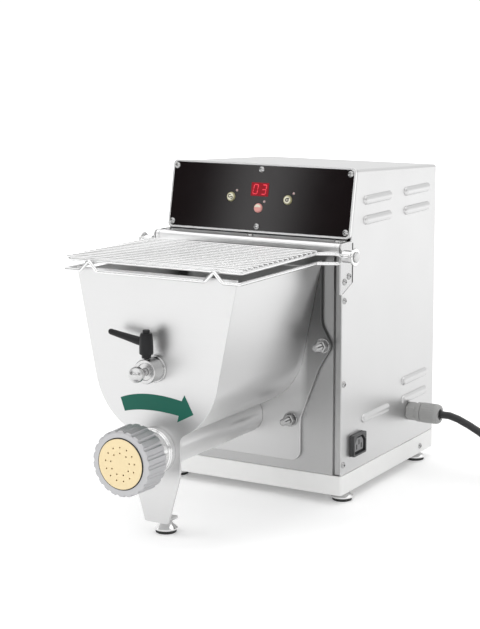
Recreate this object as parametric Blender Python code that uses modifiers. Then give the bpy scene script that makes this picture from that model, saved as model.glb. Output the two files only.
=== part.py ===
"""An electric pasta maker: a steel body with a wire-lidded mixing hopper on a leg in front of it.

All sizes are metres. Z is up and the front of the machine faces -Y. Pieces are placed in the
machine's own frame, whose origin lies on the floor under the middle of the front panel. That frame
is an empty, moved along Y so that the world origin is under the middle of the whole machine.
"""
import bmesh
import bpy
import math
from mathutils import Matrix, Vector

# Clearances
GAP = 0.0003
MERGE = 0.00001
OVERRUN = 0.0020

# Body
BODY_WIDTH = 0.2400
BODY_DEPTH = 0.2560
BODY_HEIGHT = 0.3800
TOP_FALL = 0.0125
TOP_EDGE_RADIUS = 0.0035
SHEET = 0.0015
TRAY_BOTTOM = 0.0113
TRAY_HEIGHT = 0.0225
TRAY_PROUD = 0.0010
TRAY_WALL = 0.0020
TRAY_CORNER = 0.0030
CASING_FRONT = 0.0005
FLANGE_DEPTH = 0.0200
STRIP_WIDTH = 0.0070
STRIP_STEP = 0.0030
REAR_INSET = 0.0033
FACING_SHARE = 0.5
STEEP_SHARE = 0.9
ROUND_SHARE = 0.5

# Louvres in the sides, measured from the front, the back and the top of the body
LOUVRE_HEIGHT = 0.0110
LOUVRE_BULGE = 0.0032
LOUVRE_PITCH = 0.0228
LOUVRE_FRONT = 0.0530
LOUVRE_BETWEEN = 0.0370
LOUVRE_BACK = 0.0200
LOUVRE_LOW = 0.0835
LOUVRE_TOP = 0.0665
LOUVRE_SKIN = 0.0011
LOUVRE_DROP = 0.0022
LOUVRE_SIDES = 8
LOUVRE_RINGS = 4

# Control panel
FASCIA_FOOT_Y = 0.0176
FASCIA_DROP = 0.0785
FASCIA_LEAN = math.radians(11.1)
FASCIA_HEIGHT = 0.0800
FASCIA_THICK = 0.0040
FASCIA_CORNER = 0.0050
OVERLAY_MARGIN = 0.0024
OVERLAY_THICK = 0.0010
OVERLAY_CORNER = 0.0050
DISPLAY_WIDTH = 0.0228
DISPLAY_HEIGHT = 0.0155
DISPLAY_UP = 0.0500
DISPLAY_THICK = 0.0036
BUTTON_RADIUS = 0.0054
BUTTON_PROUD = 0.0018
BUTTON_TRAVEL = 0.0008
BUTTON_SPREAD = 0.0373
BUTTON_UP = 0.0397
BUTTON_LOW_UP = 0.0284
BUTTON_STEM = 0.0020
BUTTON_FLANGE = 0.0012
LED_RADIUS = 0.0016
LED_ASIDE = 0.0070
LED_ABOVE = 0.0078
PANEL_SCREW_INSET = 0.0061
PANEL_SCREW_LOW = 0.0072
PANEL_SCREW_TOP = 0.0070
BOARD_WIDTH = 0.1200
BOARD_HEIGHT = 0.0640
BOARD_THICK = 0.0016
BOARD_DEPTH = 0.0160
STANDOFF_RADIUS = 0.0030
KEY_SWITCH = 0.0060

# Hood over the front panel and the side brackets that carry the lid
HOOD_BELOW = 0.0015
HOOD_REACH = 0.0085
HOOD_DROP = 0.0115
HOOD_BACK = 0.0208
HOOD_NOSE = 0.0050
HOOD_INSET = 0.0045
BRACKET_OUT = 0.0002
BRACKET_THICK = 0.0020
BRACKET_FRONT = 0.0090
BRACKET_BACK = 0.0190
BRACKET_HEIGHT = 0.0585
BRACKET_RISE = 0.0110

# Screws with domed heads
SCREW_RADIUS = 0.0036
SCREW_DOME = 0.0020
SCREW_SINK = 0.0005
SIDE_SCREW_Y = 0.0060
SIDE_SCREW_UP = 0.0122
SIDE_SCREW_DROP = 0.0660
SIDE_SCREW_MIDDLE_SHARE = 0.495
BRACKET_SCREW_FRONT_Y = 0.0023
BRACKET_SCREW_FRONT_DROP = 0.0444
BRACKET_SCREW_BACK_Y = 0.0135
BRACKET_SCREW_BACK_DROP = 0.0393
TRAY_SCREW_BACK = 0.0390
TRAY_SCREW_UP = 0.0090
HOOD_SCREW_INSET = 0.0090
HOOD_SCREW_Y = 0.0050
REAR_SCREW_MARGIN = 0.0120

# Feet
PAD_RADIUS = 0.0113
PAD_HEIGHT = 0.0032
CONE_RADIUS = 0.0127
CONE_NECK = 0.0045
CONE_RIM = 0.0020
CONE_WAIST_SHARE = 0.62
CONE_RISE_SHARE = 0.35
STUD_RADIUS = 0.0030
STUD_HEIGHT = 0.0080
FOOT_NUT_RADIUS = 0.0058
FOOT_NUT_HEIGHT = 0.0040
FOOT_INSET = 0.0100
FOOT_FRONT = 0.0245
FOOT_BACK_INSET = 0.0285
LEG_FOOT = 0.1770

# Hopper, its two plates and the auger tube
MODULE = 0.0025
DRIVE_TEETH = 14
AUGER_TEETH = 28
MIXER_TEETH = 42
AUGER_Z = 0.0946
PLATE_FRONT = 0.1960
PLATE_THICK = 0.0030
PLATE_BELOW_LID = 0.0085
PLATE_TOP_HALF = 0.0992
PLATE_ARC = 0.0767
LEG_HALF = 0.0300
LEG_BEND_Z = 0.0690
LEG_FOOT_HALF = 0.0145
LEG_BOTTOM = 0.0150
LEG_FILLET = 0.0110
LEG_BEND_RADIUS = 0.0600
LEG_CORNER = 0.0030
ARC_STEPS = 10
FLANGE_BACK = 0.1710
TROUGH_INSET = 0.0012
TROUGH_SHEET = 0.0020
TROUGH_BELOW = 0.0040
REAR_THICK = 0.0040
REAR_BELOW = 0.0120
REAR_TOP_HALF = 0.0962
REAR_EAR_RISE = 0.0240
REAR_EAR_OUT = 0.0110
REAR_EAR_NECK = 0.0025
REAR_EAR_DROP = 0.0270
REAR_EAR_ROUND = 0.0100
REAR_SOFT_TURN = 0.0250
REAR_FOOT_SIDE = 0.0120
REAR_FOOT_SHOULDER = 0.0020
REAR_FOOT_DROP = 0.0480
REAR_FOOT_ROUND = 0.0120
TUBE_RADIUS = 0.0220
TUBE_BORE = 0.0195
TUBE_SLOT = 0.0140
BOLT_HIGH_X = 0.0990
BOLT_HIGH_ABOVE = 0.0009
BOLT_LOW_X = 0.0585
BOLT_LOW_BELOW = 0.0006
WASHER_RADIUS = 0.0085
WASHER_THICK = 0.0015
NUT_RADIUS = 0.0072
NUT_HEIGHT = 0.0065
STUD_TIP_RADIUS = 0.0040
STUD_TIP = 0.0120

# Nozzle, ring nut and die
NOZZLE_COLLAR = 0.0250
NOZZLE_COLLAR_LENGTH = 0.0080
NOZZLE_NECK = 0.0225
NOZZLE_THREAD = 0.0288
RING_BACK = 0.2300
RING_LENGTH = 0.0335
RING_FACE_RADIUS = 0.0326
RING_SHOULDER = 0.0022
RING_FRONT_RADIUS = 0.0348
RING_BACK_RADIUS = 0.0356
RING_RIBS = 22
RING_GROOVE = 0.0016
RING_CUTTER = 0.0032
RING_LIP = 0.0063
RING_PITCH = 0.0040
DIE_RADIUS = 0.0266
DIE_FLANGE = 0.0020
DIE_LIP_CLEAR = 0.0006
DIE_HOLE = 0.0012
DIE_OUTER_HOLES = 13
DIE_INNER_HOLES = 9
DIE_OUTER_CIRCLE = 0.0177
DIE_INNER_CIRCLE = 0.0115

# Mixer front boss, pull pin and clamping lever
BOSS_RADIUS = 0.0130
BOSS_FLANGE = 0.0145
BOSS_FLANGE_THICK = 0.0030
BOSS_LENGTH = 0.0205
BOSS_RECESS = 0.0090
BOSS_RECESS_DEPTH = 0.0015
PIN_RADIUS = 0.0040
PIN_BALL = 0.0084
PIN_BALL_AHEAD = 0.0350
PIN_INSIDE = 0.0230
LEVER_BEHIND = 0.0042
LEVER_LOW = 0.1962
LEVER_COLLAR = 0.0050
LEVER_COLLAR_HEIGHT = 0.0042
LEVER_BARREL = 0.0074
LEVER_BARREL_TOP = 0.0064
LEVER_BARREL_HEIGHT = 0.0220
LEVER_CAP = 0.0038
LEVER_CAP_HEIGHT = 0.0036
LEVER_ARM = 0.0476
LEVER_ARM_RISE = 0.0088
LEVER_ARM_THICK = 0.0046
LEVER_ARM_Z = 0.0156
LEVER_ARM_TIP = 0.0027
LEVER_STUD = 0.0023
LEVER_STUD_LENGTH = 0.0140

# Wire lid
LID_PIVOT_Y = 0.0060
LID_PIVOT_DROP = 0.0140
LID_ROD = 0.0020
LID_RISE = 0.0055
LID_ROD_SPACING = 0.0107
LID_BESIDE = 0.0078
LID_FRONT = 0.2005
LID_STEP_Y = 0.0330
LID_ARM_OUT = 0.0070
LID_TAIL = 0.0072
LID_CORNER = 0.0050
LID_WIRE = 0.0015
LID_WIRES = 16
LID_WIRE_OVERHANG = 0.0020
LID_BUMP_X = 0.0770
LID_BUMP_HALF = 0.0105
HUB_RADIUS = 0.0070
HUB_DISC = 0.0100
HUB_DISC_THICK = 0.0025
HUB_LENGTH = 0.0150
HUB_INSIDE = 0.0025
PIVOT_RADIUS = 0.0040
PIVOT_HEAD = 0.0060
PIVOT_HEAD_THICK = 0.0020

# Mixing paddle, auger and the drive behind them
SHAFT_RADIUS = 0.0090
PADDLE_SHAFT = 0.0085
PADDLE_REACH = 0.0660
PADDLE_BAR = 0.0045
PADDLE_BARS = 5
PADDLE_TWIST = math.radians(24.0)
PADDLE_CLEAR = 0.0025
PADDLE_FIRST = 0.0300
AUGER_RADIUS = 0.0187
AUGER_CORE = 0.0090
AUGER_PITCH = 0.0300
AUGER_TIP_CLEAR = 0.0080
AUGER_LAND = math.radians(17.0)
AUGER_ROOT = math.radians(34.0)
AUGER_STEPS = 8
AUGER_SIDES = 5
TONGUE = 0.0060
TONGUE_LENGTH = 0.0080
SHAFT_AHEAD = 0.0140
SHAFT_BACK = 0.0520
BEARING_RADIUS = 0.0150
BEARING_WIDTH = 0.0080
SEAL_RADIUS = 0.0130
PANEL_HOLE = 0.0120
GEAR_FRONT = 0.0200
GEAR_WIDTH = 0.0120
PINION_WIDTH = 0.0140
BACKLASH = 0.00035
PRESSURE_ANGLE = math.radians(25.0)
ADDENDUM_SHARE = 0.8
DEDENDUM_SHARE = 1.0
FLANK_STEPS = 1
GEAR_HOLE = 0.0080
GEAR_HOLES = 6
GEAR_HOLE_CIRCLE = 0.0300
GEAR_PLATE_Y = 0.0420
GEAR_PLATE_THICK = 0.0040
GEAR_PLATE_HALF = 0.0600
GEAR_PLATE_ABOVE = 0.0499
SPACER_RADIUS = 0.0060
SPACER_MARGIN = 0.0120
GEARBOX_LENGTH = 0.0480
GEARBOX_SIZE = 0.0900
GEARBOX_EDGE = 0.0040
MOTOR_RADIUS = 0.0500
MOTOR_LENGTH = 0.1050
MOTOR_BELL = 0.0120
STAND_THICK = 0.0040
STAND_HALF = 0.0440
STAND_AHEAD = 0.0396
SWITCH_WIDTH = 0.0120
SWITCH_DEPTH = 0.0220
SWITCH_HEIGHT = 0.0300
SWITCH_BELOW = 0.0380

# Outlet in the right side
OUTLET_FRONT = 0.0230
OUTLET_LOW = 0.0514
OUTLET_WIDTH = 0.0320
OUTLET_HEIGHT = 0.0246
OUTLET_PROUD = 0.0055
OUTLET_DEPTH = 0.0200
OUTLET_WALL = 0.0022
OUTLET_CHAMFER = 0.0070
OUTLET_RECESS = 0.0030
SLOT_WIDTH = 0.0022
SLOT_LENGTH = 0.0060
SLOT_DEPTH = 0.0100
SLOT_ASIDE = 0.0070

# Cable gland, cord and plug
GLAND_Y = 0.1840
GLAND_Z = 0.0720
GLAND_BASE = 0.0115
GLAND_BASE_LENGTH = 0.0110
GLAND_GROOVE = 0.0102
GLAND_GROOVE_LENGTH = 0.0020
GLAND_RING = 0.0118
GLAND_RING_LENGTH = 0.0055
GLAND_CAP = 0.0121
GLAND_CAP_LENGTH = 0.0230
GLAND_MOUTH = 0.0066
GLAND_THREAD = 0.0080
GLAND_NUT = 0.0130
CORD_RADIUS = 0.0044
CORD_LENGTH = 1.5000
CORD_FLOOR = 0.0046
CORD_ROUTE = [
    (0.1621, 0.1840, 0.0720), (0.1740, 0.1840, 0.0720), (0.1850, 0.1840, 0.0692),
    (0.1990, 0.1840, 0.0634), (0.2130, 0.1840, 0.0565), (0.2260, 0.1840, 0.0480),
    (0.2380, 0.1840, 0.0375), (0.2490, 0.1840, 0.0262), (0.2600, 0.1840, 0.0155),
    (0.2720, 0.1840, 0.0080), (0.2850, 0.1840, 0.0048), (0.2960, 0.1840, 0.0046),
    (0.3060, 0.1840, 0.0046),
]
COIL_RADIUS = 0.0490
COIL_STEP = 0.0094
COIL_LAYER = 0.0094
COIL_POINTS = 24
RELIEF_LENGTH = 0.0400
RELIEF_RADIUS = 0.0062
PLUG_LENGTH = 0.0340
PLUG_WIDTH = 0.0380
PLUG_THICK = 0.0240
PLUG_PIN = 0.0020
PLUG_PIN_LENGTH = 0.0190
PLUG_PIN_STEP = 0.0095

# Counts of segments round the turned pieces
FINE = 24
ROUND = 16
SMALL = 10
TINY = 6
CORNER_STEPS = 3

# Sizes worked out from those above
TRAY_TOP = TRAY_BOTTOM + TRAY_HEIGHT
TRAY_FLOOR = TRAY_BOTTOM + TRAY_WALL
HALF_WIDTH = BODY_WIDTH / 2
CASING_INSIDE = HALF_WIDTH - SHEET
LOUVRE_LENGTH = (BODY_DEPTH - LOUVRE_FRONT - LOUVRE_BETWEEN - LOUVRE_BACK) / 2
LOUVRE_STEP = LOUVRE_LENGTH + LOUVRE_BETWEEN
LOUVRE_HIGH = BODY_HEIGHT - LOUVRE_TOP
FASCIA_FOOT_Z = BODY_HEIGHT - FASCIA_DROP
HOOD_TOP = FASCIA_FOOT_Z - HOOD_BELOW
BRACKET_LOW = HOOD_TOP - BRACKET_HEIGHT
LID_PIVOT_Z = HOOD_TOP - LID_PIVOT_DROP
LID_UPPER_Z = LID_PIVOT_Z + LID_RISE
LID_LOWER_Z = LID_UPPER_Z - LID_ROD_SPACING
LID_HALF = PLATE_TOP_HALF + LID_BESIDE
LID_ARM_HALF = HALF_WIDTH + LID_ARM_OUT
HUB_START = LID_ARM_HALF - HUB_INSIDE
LID_HUB_X = HUB_START + HUB_LENGTH / 2
PLATE_TOP = LID_UPPER_Z - PLATE_BELOW_LID
TROUGH_TOP = PLATE_TOP - TROUGH_BELOW
REAR_TOP_Z = PLATE_TOP - REAR_BELOW
FOOT_ASIDE = HALF_WIDTH - FOOT_INSET
FOOT_BACK = BODY_DEPTH - FOOT_BACK_INSET
MACHINE_FRONT = RING_BACK + RING_LENGTH
MACHINE_BACK = BODY_DEPTH + TRAY_PROUD
FRAME_Y = (MACHINE_FRONT - MACHINE_BACK) / 2
AUGER_MIXER_SPACING = MODULE * (AUGER_TEETH + MIXER_TEETH) / 2
MIXER_DRIVE_SPACING = MODULE * (MIXER_TEETH + DRIVE_TEETH) / 2
MIXER_Z = AUGER_Z + AUGER_MIXER_SPACING
DRIVE_Z = MIXER_Z + MIXER_DRIVE_SPACING
GEAR_PLATE_TOP = DRIVE_Z + GEAR_PLATE_ABOVE
BOLT_HIGH_Z = MIXER_Z + BOLT_HIGH_ABOVE
BOLT_LOW_Z = AUGER_Z - BOLT_LOW_BELOW
LEAN_SIN = math.sin(FASCIA_LEAN)
LEAN_COS = math.cos(FASCIA_LEAN)
PLATE_BACK = PLATE_FRONT - PLATE_THICK
REAR_FACE = GAP + REAR_THICK
HOPPER_FRONT = PLATE_BACK - GAP
HOPPER_BACK = REAR_FACE + GAP
RING_FRONT = MACHINE_FRONT
DIE_FRONT = RING_FRONT - GAP
DIE_STEP = RING_FRONT - RING_LIP
DIE_BACK = DIE_STEP - GAP - DIE_FLANGE
NOZZLE_FRONT = DIE_BACK - GAP
BOSS_FRONT = PLATE_FRONT + GAP + BOSS_LENGTH
LEVER_Y = BOSS_FRONT - LEVER_BEHIND
SHAFT_CLEAR = SHAFT_RADIUS + GAP
GLAND_END = HALF_WIDTH + GAP + GLAND_BASE_LENGTH + GLAND_GROOVE_LENGTH + GLAND_RING_LENGTH + GLAND_CAP_LENGTH

PAINTS = {
    "satin_steel": ((0.62, 0.62, 0.61), 0.34, 1.0),
    "polished_steel": ((0.74, 0.74, 0.74), 0.16, 1.0),
    "chrome": ((0.80, 0.80, 0.80), 0.08, 1.0),
    "pale_tray": ((0.78, 0.78, 0.77), 0.45, 0.0),
    "cast_aluminium": ((0.55, 0.56, 0.57), 0.42, 1.0),
    "pale_bronze": ((0.78, 0.64, 0.40), 0.38, 1.0),
    "black_plastic": ((0.02, 0.02, 0.02), 0.30, 0.0),
    "black_rubber": ((0.02, 0.02, 0.02), 0.75, 0.0),
    "black_glass": ((0.015, 0.012, 0.015), 0.10, 0.0),
    "grey_plastic": ((0.33, 0.33, 0.33), 0.45, 0.0),
    "cream_plastic": ((0.86, 0.82, 0.70), 0.40, 0.0),
    "red_window": ((0.55, 0.02, 0.04), 0.20, 0.0),
    "pink_lamp": ((0.80, 0.45, 0.42), 0.25, 0.0),
    "gear_steel": ((0.42, 0.42, 0.42), 0.38, 1.0),
    "motor_paint": ((0.16, 0.17, 0.18), 0.50, 0.0),
    "board_green": ((0.04, 0.22, 0.10), 0.50, 0.0),
}

# Turns that lay a local Z axis along a machine axis
TO_FRONT = (math.pi / 2, 0.0, 0.0)
TO_RIGHT = (0.0, math.pi / 2, 0.0)
TO_LEFT = (0.0, -math.pi / 2, 0.0)
TO_BACK = (-math.pi / 2, 0.0, 0.0)
SIDE_VIEW = (math.pi / 2, 0.0, math.pi / 2)


def clear_scene():
    for old in list(bpy.data.objects):
        bpy.data.objects.remove(old, do_unlink=True)


clear_scene()
PARTS = bpy.data.collections.new("electric_pasta_maker")
CUTTERS = bpy.data.collections.new("cutters")
bpy.context.scene.collection.children.link(PARTS)
bpy.context.scene.collection.children.link(CUTTERS)


def paint(name):
    material = bpy.data.materials.get(name)
    if material is None:
        colour, roughness, metallic = PAINTS[name]
        material = bpy.data.materials.new(name)
        material.use_nodes = True
        shader = material.node_tree.nodes["Principled BSDF"]
        shader.inputs["Base Color"].default_value = (*colour, 1.0)
        shader.inputs["Roughness"].default_value = roughness
        shader.inputs["Metallic"].default_value = metallic
    return material


def axis_empty(name, at, turn=(0.0, 0.0, 0.0), carrier=None):
    """An empty that pieces hang on: the machine's frame or the axis of a joint."""
    empty = bpy.data.objects.new(name, None)
    empty.location = at
    empty.rotation_euler = turn
    empty.parent = carrier
    PARTS.objects.link(empty)
    return empty


MACHINE = axis_empty("machine_frame", (0.0, FRAME_Y, 0.0))
PANEL = axis_empty("panel_frame", (0.0, FASCIA_FOOT_Y, FASCIA_FOOT_Z),
                   (math.pi / 2 - FASCIA_LEAN, 0.0, 0.0), MACHINE)
LID = axis_empty("lid_axis", (0.0, -LID_PIVOT_Y, LID_PIVOT_Z), carrier=MACHINE)
MIXER = axis_empty("mixer_axis", (0.0, 0.0, MIXER_Z), carrier=MACHINE)
AUGER = axis_empty("auger_axis", (0.0, 0.0, AUGER_Z), carrier=MACHINE)
DRIVE = axis_empty("drive_axis", (0.0, 0.0, DRIVE_Z), carrier=MACHINE)
LEVER = axis_empty("lever_axis", (0.0, -LEVER_Y, LEVER_LOW), carrier=MACHINE)


def put(name, data, colour, at=(0.0, 0.0, 0.0), turn=(0.0, 0.0, 0.0), carrier=MACHINE):
    """Add an object to the parts, or to the cutters when it has no colour."""
    piece = bpy.data.objects.new(name, data)
    piece.location = at
    piece.rotation_euler = turn
    piece.parent = carrier
    if colour is None:
        CUTTERS.objects.link(piece)
        piece.hide_render = True
        piece.display_type = "WIRE"
    else:
        PARTS.objects.link(piece)
        if not data.materials:
            data.materials.append(paint(colour))
    return piece


def solid_mesh(piece):
    """The evaluated shape as a mesh with its loose caps welded and its faces outwards."""
    depsgraph = bpy.context.evaluated_depsgraph_get()
    mesh = bpy.data.meshes.new_from_object(piece.evaluated_get(depsgraph))
    shape = bmesh.new()
    shape.from_mesh(mesh)
    bmesh.ops.remove_doubles(shape, verts=shape.verts, dist=MERGE)
    bmesh.ops.recalc_face_normals(shape, faces=shape.faces)
    shape.to_mesh(mesh)
    shape.free()
    return mesh


def as_mesh(piece, colour):
    """Swap a curve object for a welded mesh object of the same name, place and parent."""
    mesh = solid_mesh(piece)
    mesh.materials.clear()
    name = piece.name
    at = piece.location.copy()
    turn = piece.rotation_euler.copy()
    carrier = piece.parent
    bpy.data.objects.remove(piece, do_unlink=True)
    swapped = put(name, mesh, colour, at, turn, carrier)
    swapped.name = name
    return swapped


def boolean(piece, tool, operation):
    modifier = piece.modifiers.new(operation.lower(), "BOOLEAN")
    modifier.operation = operation
    modifier.solver = "EXACT"
    modifier.object = tool


def cut(piece, *tools):
    for tool in tools:
        boolean(piece, tool, "DIFFERENCE")


def join(piece, *tools):
    for tool in tools:
        boolean(piece, tool, "UNION")


def soften(piece, width, segments=1):
    bevel = piece.modifiers.new("soft_edges", "BEVEL")
    bevel.width = width
    bevel.segments = segments
    bevel.limit_method = "ANGLE"
    bevel.use_clamp_overlap = True


def block(name, low, high, colour, carrier=MACHINE, turn=(0.0, 0.0, 0.0)):
    """A box between two corners given in its carrier's frame."""
    shape = bmesh.new()
    bmesh.ops.create_cube(shape, size=1.0)
    size = [high[i] - low[i] for i in range(3)]
    bmesh.ops.scale(shape, vec=size, verts=shape.verts)
    mesh = bpy.data.meshes.new(name)
    shape.to_mesh(mesh)
    shape.free()
    centre = [(low[i] + high[i]) / 2 for i in range(3)]
    return put(name, mesh, colour, centre, turn, carrier)


def turned(name, profile, colour, at=(0.0, 0.0, 0.0), turn=(0.0, 0.0, 0.0), carrier=MACHINE,
           steps=ROUND, ring=False):
    """A lathe shape. The profile holds (radius, height) pairs and runs down its outer side."""
    mesh = bpy.data.meshes.new(name)
    edges = [(i, i + 1) for i in range(len(profile) - 1)]
    if ring:
        edges.append((len(profile) - 1, 0))
    mesh.from_pydata([(radius, 0.0, height) for radius, height in profile], edges, [])
    piece = put(name, mesh, colour, at, turn, carrier)
    screw = piece.modifiers.new("lathe", "SCREW")
    screw.angle = math.tau
    screw.steps = steps
    screw.render_steps = steps
    screw.use_merge_vertices = True
    screw.merge_threshold = MERGE
    screw.use_smooth_shade = True
    return piece


def circle(radius, steps, centre=(0.0, 0.0)):
    points = []
    for i in range(steps):
        angle = math.tau * (i + 0.5) / steps
        points.append((centre[0] + radius * math.cos(angle), centre[1] + radius * math.sin(angle)))
    return points


def arc(radius, start, end, steps, centre=(0.0, 0.0)):
    points = []
    for i in range(steps + 1):
        angle = start + (end - start) * i / steps
        points.append((centre[0] + radius * math.cos(angle), centre[1] + radius * math.sin(angle)))
    return points


def filleted(points, closed=True, steps=CORNER_STEPS):
    """Round the corners of a flat path whose points are (x, y) or (x, y, radius)."""
    path = []
    count = len(points)
    for i, point in enumerate(points):
        here = Vector(point[:2])
        inner = closed or 0 < i < count - 1
        if len(point) < 3 or not inner:
            path.append(tuple(here))
            continue
        before = (Vector(points[i - 1][:2]) - here).normalized()
        after = (Vector(points[(i + 1) % count][:2]) - here).normalized()
        half = before.angle(after) / 2
        centre = here + (before + after).normalized() * (point[2] / math.sin(half))
        first = here + before * (point[2] / math.tan(half)) - centre
        last = here + after * (point[2] / math.tan(half)) - centre
        start = math.atan2(first.y, first.x)
        sweep = math.atan2(first.cross(last), first.dot(last))
        path.extend(arc(point[2], start, start + sweep, steps, tuple(centre)))
    return path


def rectangle(low, high, radius=None):
    corners = [(low[0], low[1]), (high[0], low[1]), (high[0], high[1]), (low[0], high[1])]
    if radius is None:
        return corners
    return filleted([(x, y, radius) for x, y in corners])


def sheet_path(path, thickness):
    """A closed outline of a bent sheet: the path, and the same path set off to its left."""
    offset = []
    for i, point in enumerate(path):
        here = Vector(point)
        tangents = []
        if i > 0:
            tangents.append((here - Vector(path[i - 1])).normalized())
        if i < len(path) - 1:
            tangents.append((Vector(path[i + 1]) - here).normalized())
        normals = [Vector((-t.y, t.x)) for t in tangents]
        normal = sum(normals, Vector((0.0, 0.0))).normalized()
        offset.append(tuple(here + normal * (thickness / normal.dot(normals[0]))))
    return list(path) + offset[::-1]


def plate(name, outlines, thickness, colour, at=(0.0, 0.0, 0.0), turn=(0.0, 0.0, 0.0),
          carrier=MACHINE):
    """A flat plate: the first outline is its edge and the others are holes through it."""
    curve = bpy.data.curves.new(name, "CURVE")
    curve.dimensions = "2D"
    curve.fill_mode = "BOTH"
    curve.extrude = thickness / 2
    for outline in outlines:
        spline = curve.splines.new("POLY")
        spline.points.add(len(outline) - 1)
        for point, (x, y) in zip(spline.points, outline):
            point.co = (x, y, 0.0, 1.0)
        spline.use_cyclic_u = True
    piece = put(name, curve, colour, at, turn, carrier)
    return as_mesh(piece, colour)


def rod(name, points, radius, colour, carrier=MACHINE, smoothness=1, radii=None, closed=False):
    """A round bar along a path, as a bevelled curve with filled caps."""
    curve = bpy.data.curves.new(name, "CURVE")
    curve.dimensions = "3D"
    curve.bevel_depth = radius
    curve.bevel_resolution = smoothness
    curve.use_fill_caps = True
    spline = curve.splines.new("POLY")
    spline.points.add(len(points) - 1)
    for i, (point, place) in enumerate(zip(spline.points, points)):
        point.co = (*place, 1.0)
        if radii is not None:
            point.radius = radii[i]
    spline.use_cyclic_u = closed
    return put(name, curve, colour, carrier=carrier)


def copies(pattern, colour, places, carrier=MACHINE):
    """Objects that share the pattern's finished shape, one for each named (place, turn)."""
    bpy.context.view_layer.update()
    mesh = solid_mesh(pattern)
    mesh.materials.clear()
    bpy.data.objects.remove(pattern, do_unlink=True)
    for name, (at, turn) in places.items():
        put(name, mesh, colour, at, turn, carrier)


def gather(name, sources, places, carrier=MACHINE):
    """A tool that holds a copy of each source at each place, to cut with or to join on."""
    bpy.context.view_layer.update()
    group = bmesh.new()
    for source in sources:
        mesh = solid_mesh(source)
        for place in places:
            copy = mesh.copy()
            copy.transform(place)
            group.from_mesh(copy)
            bpy.data.meshes.remove(copy)
        bpy.data.meshes.remove(mesh)
        bpy.data.objects.remove(source, do_unlink=True)
    mesh = bpy.data.meshes.new(name)
    group.to_mesh(mesh)
    group.free()
    mesh.materials.clear()
    return put(name, mesh, None, carrier=carrier)


def turn_matrix(turn):
    x_turn = Matrix.Rotation(turn[0], 4, "X")
    y_turn = Matrix.Rotation(turn[1], 4, "Y")
    z_turn = Matrix.Rotation(turn[2], 4, "Z")
    return z_turn @ y_turn @ x_turn


def place_at(at, turn=(0.0, 0.0, 0.0)):
    return Matrix.Translation(at) @ turn_matrix(turn)


# Body: tray, casing, front and rear panels

def base_tray():
    low = (-HALF_WIDTH - TRAY_PROUD, -TRAY_PROUD, TRAY_BOTTOM)
    high = (HALF_WIDTH + TRAY_PROUD, BODY_DEPTH + TRAY_PROUD, TRAY_TOP)
    shape = bmesh.new()
    bmesh.ops.create_cube(shape, size=1.0)
    bmesh.ops.scale(shape, vec=[high[i] - low[i] for i in range(3)], verts=shape.verts)
    lid = [face for face in shape.faces if face.normal.z > FACING_SHARE]
    bmesh.ops.delete(shape, geom=lid, context="FACES")
    upright = [edge for edge in shape.edges if abs(edge.verts[0].co.z - edge.verts[1].co.z) > MERGE]
    bmesh.ops.bevel(shape, geom=upright, offset=TRAY_CORNER, segments=CORNER_STEPS,
                    profile=ROUND_SHARE, affect="EDGES")
    mesh = bpy.data.meshes.new("base_tray")
    shape.to_mesh(mesh)
    shape.free()
    centre = [(low[i] + high[i]) / 2 for i in range(3)]
    tray = put("base_tray", mesh, "pale_tray", centre)
    wall = tray.modifiers.new("wall", "SOLIDIFY")
    wall.thickness = TRAY_WALL
    wall.offset = -1.0
    wall.use_even_offset = True
    nuts = [place_at((x, y, TRAY_FLOOR)) for x, y in foot_places().values()]
    join(tray, gather("weld_nuts", [weld_nut()], nuts))
    for x, y in foot_places().values():
        cut(tray, drill("foot_hole", STUD_RADIUS + GAP, (x, y, TRAY_FLOOR), (0.0, 0.0, 0.0),
                        FOOT_NUT_HEIGHT + OVERRUN, steps=SMALL))
    wall = HALF_WIDTH + TRAY_PROUD
    screw_y = BODY_DEPTH - TRAY_SCREW_BACK
    screws = [place_at((side * wall, screw_y, TRAY_BOTTOM + TRAY_SCREW_UP), turn)
              for side, turn in ((-1, TO_LEFT), (1, TO_RIGHT))]
    join(tray, gather("tray_screws", [screw_head()], screws))


def weld_nut():
    """A hexagon that is welded on a floor, before its hole is drilled."""
    return turned("weld_nut", disc(FOOT_NUT_RADIUS, -TRAY_WALL / 2, FOOT_NUT_HEIGHT), None, steps=6)


def foot_places():
    return {
        "front_left": (-FOOT_ASIDE, FOOT_FRONT), "front_right": (FOOT_ASIDE, FOOT_FRONT),
        "back_left": (-FOOT_ASIDE, FOOT_BACK), "back_right": (FOOT_ASIDE, FOOT_BACK),
    }


def fascia_back(z):
    """The Y of the slanted edge behind the control panel, at a height."""
    along = (z - FASCIA_FOOT_Z + FASCIA_THICK * LEAN_SIN) / LEAN_COS
    return FASCIA_FOOT_Y + FASCIA_THICK * LEAN_COS + GAP / LEAN_COS + along * LEAN_SIN


def side_outline():
    """The side of the casing, as (y, z)."""
    low = TRAY_TOP + GAP
    ledge = HOOD_TOP - SHEET - GAP
    top_front = BODY_HEIGHT - TOP_FALL * fascia_back(BODY_HEIGHT) / BODY_DEPTH
    return [
        (CASING_FRONT, low), (BODY_DEPTH, low), (BODY_DEPTH, BODY_HEIGHT - TOP_FALL),
        (fascia_back(BODY_HEIGHT), top_front), (fascia_back(ledge), ledge), (CASING_FRONT, ledge),
    ]


def louvre_places():
    """Front end and lower edge of each louvre of one side, as (y, z)."""
    places = []
    for column in range(2):
        y = LOUVRE_FRONT + column * LOUVRE_STEP
        places.append((y, LOUVRE_LOW))
        places.append((y, LOUVRE_HIGH))
        places.append((y, LOUVRE_HIGH + LOUVRE_PITCH))
    places.append((LOUVRE_FRONT + LOUVRE_STEP, LOUVRE_LOW + LOUVRE_PITCH))
    return places


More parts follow.
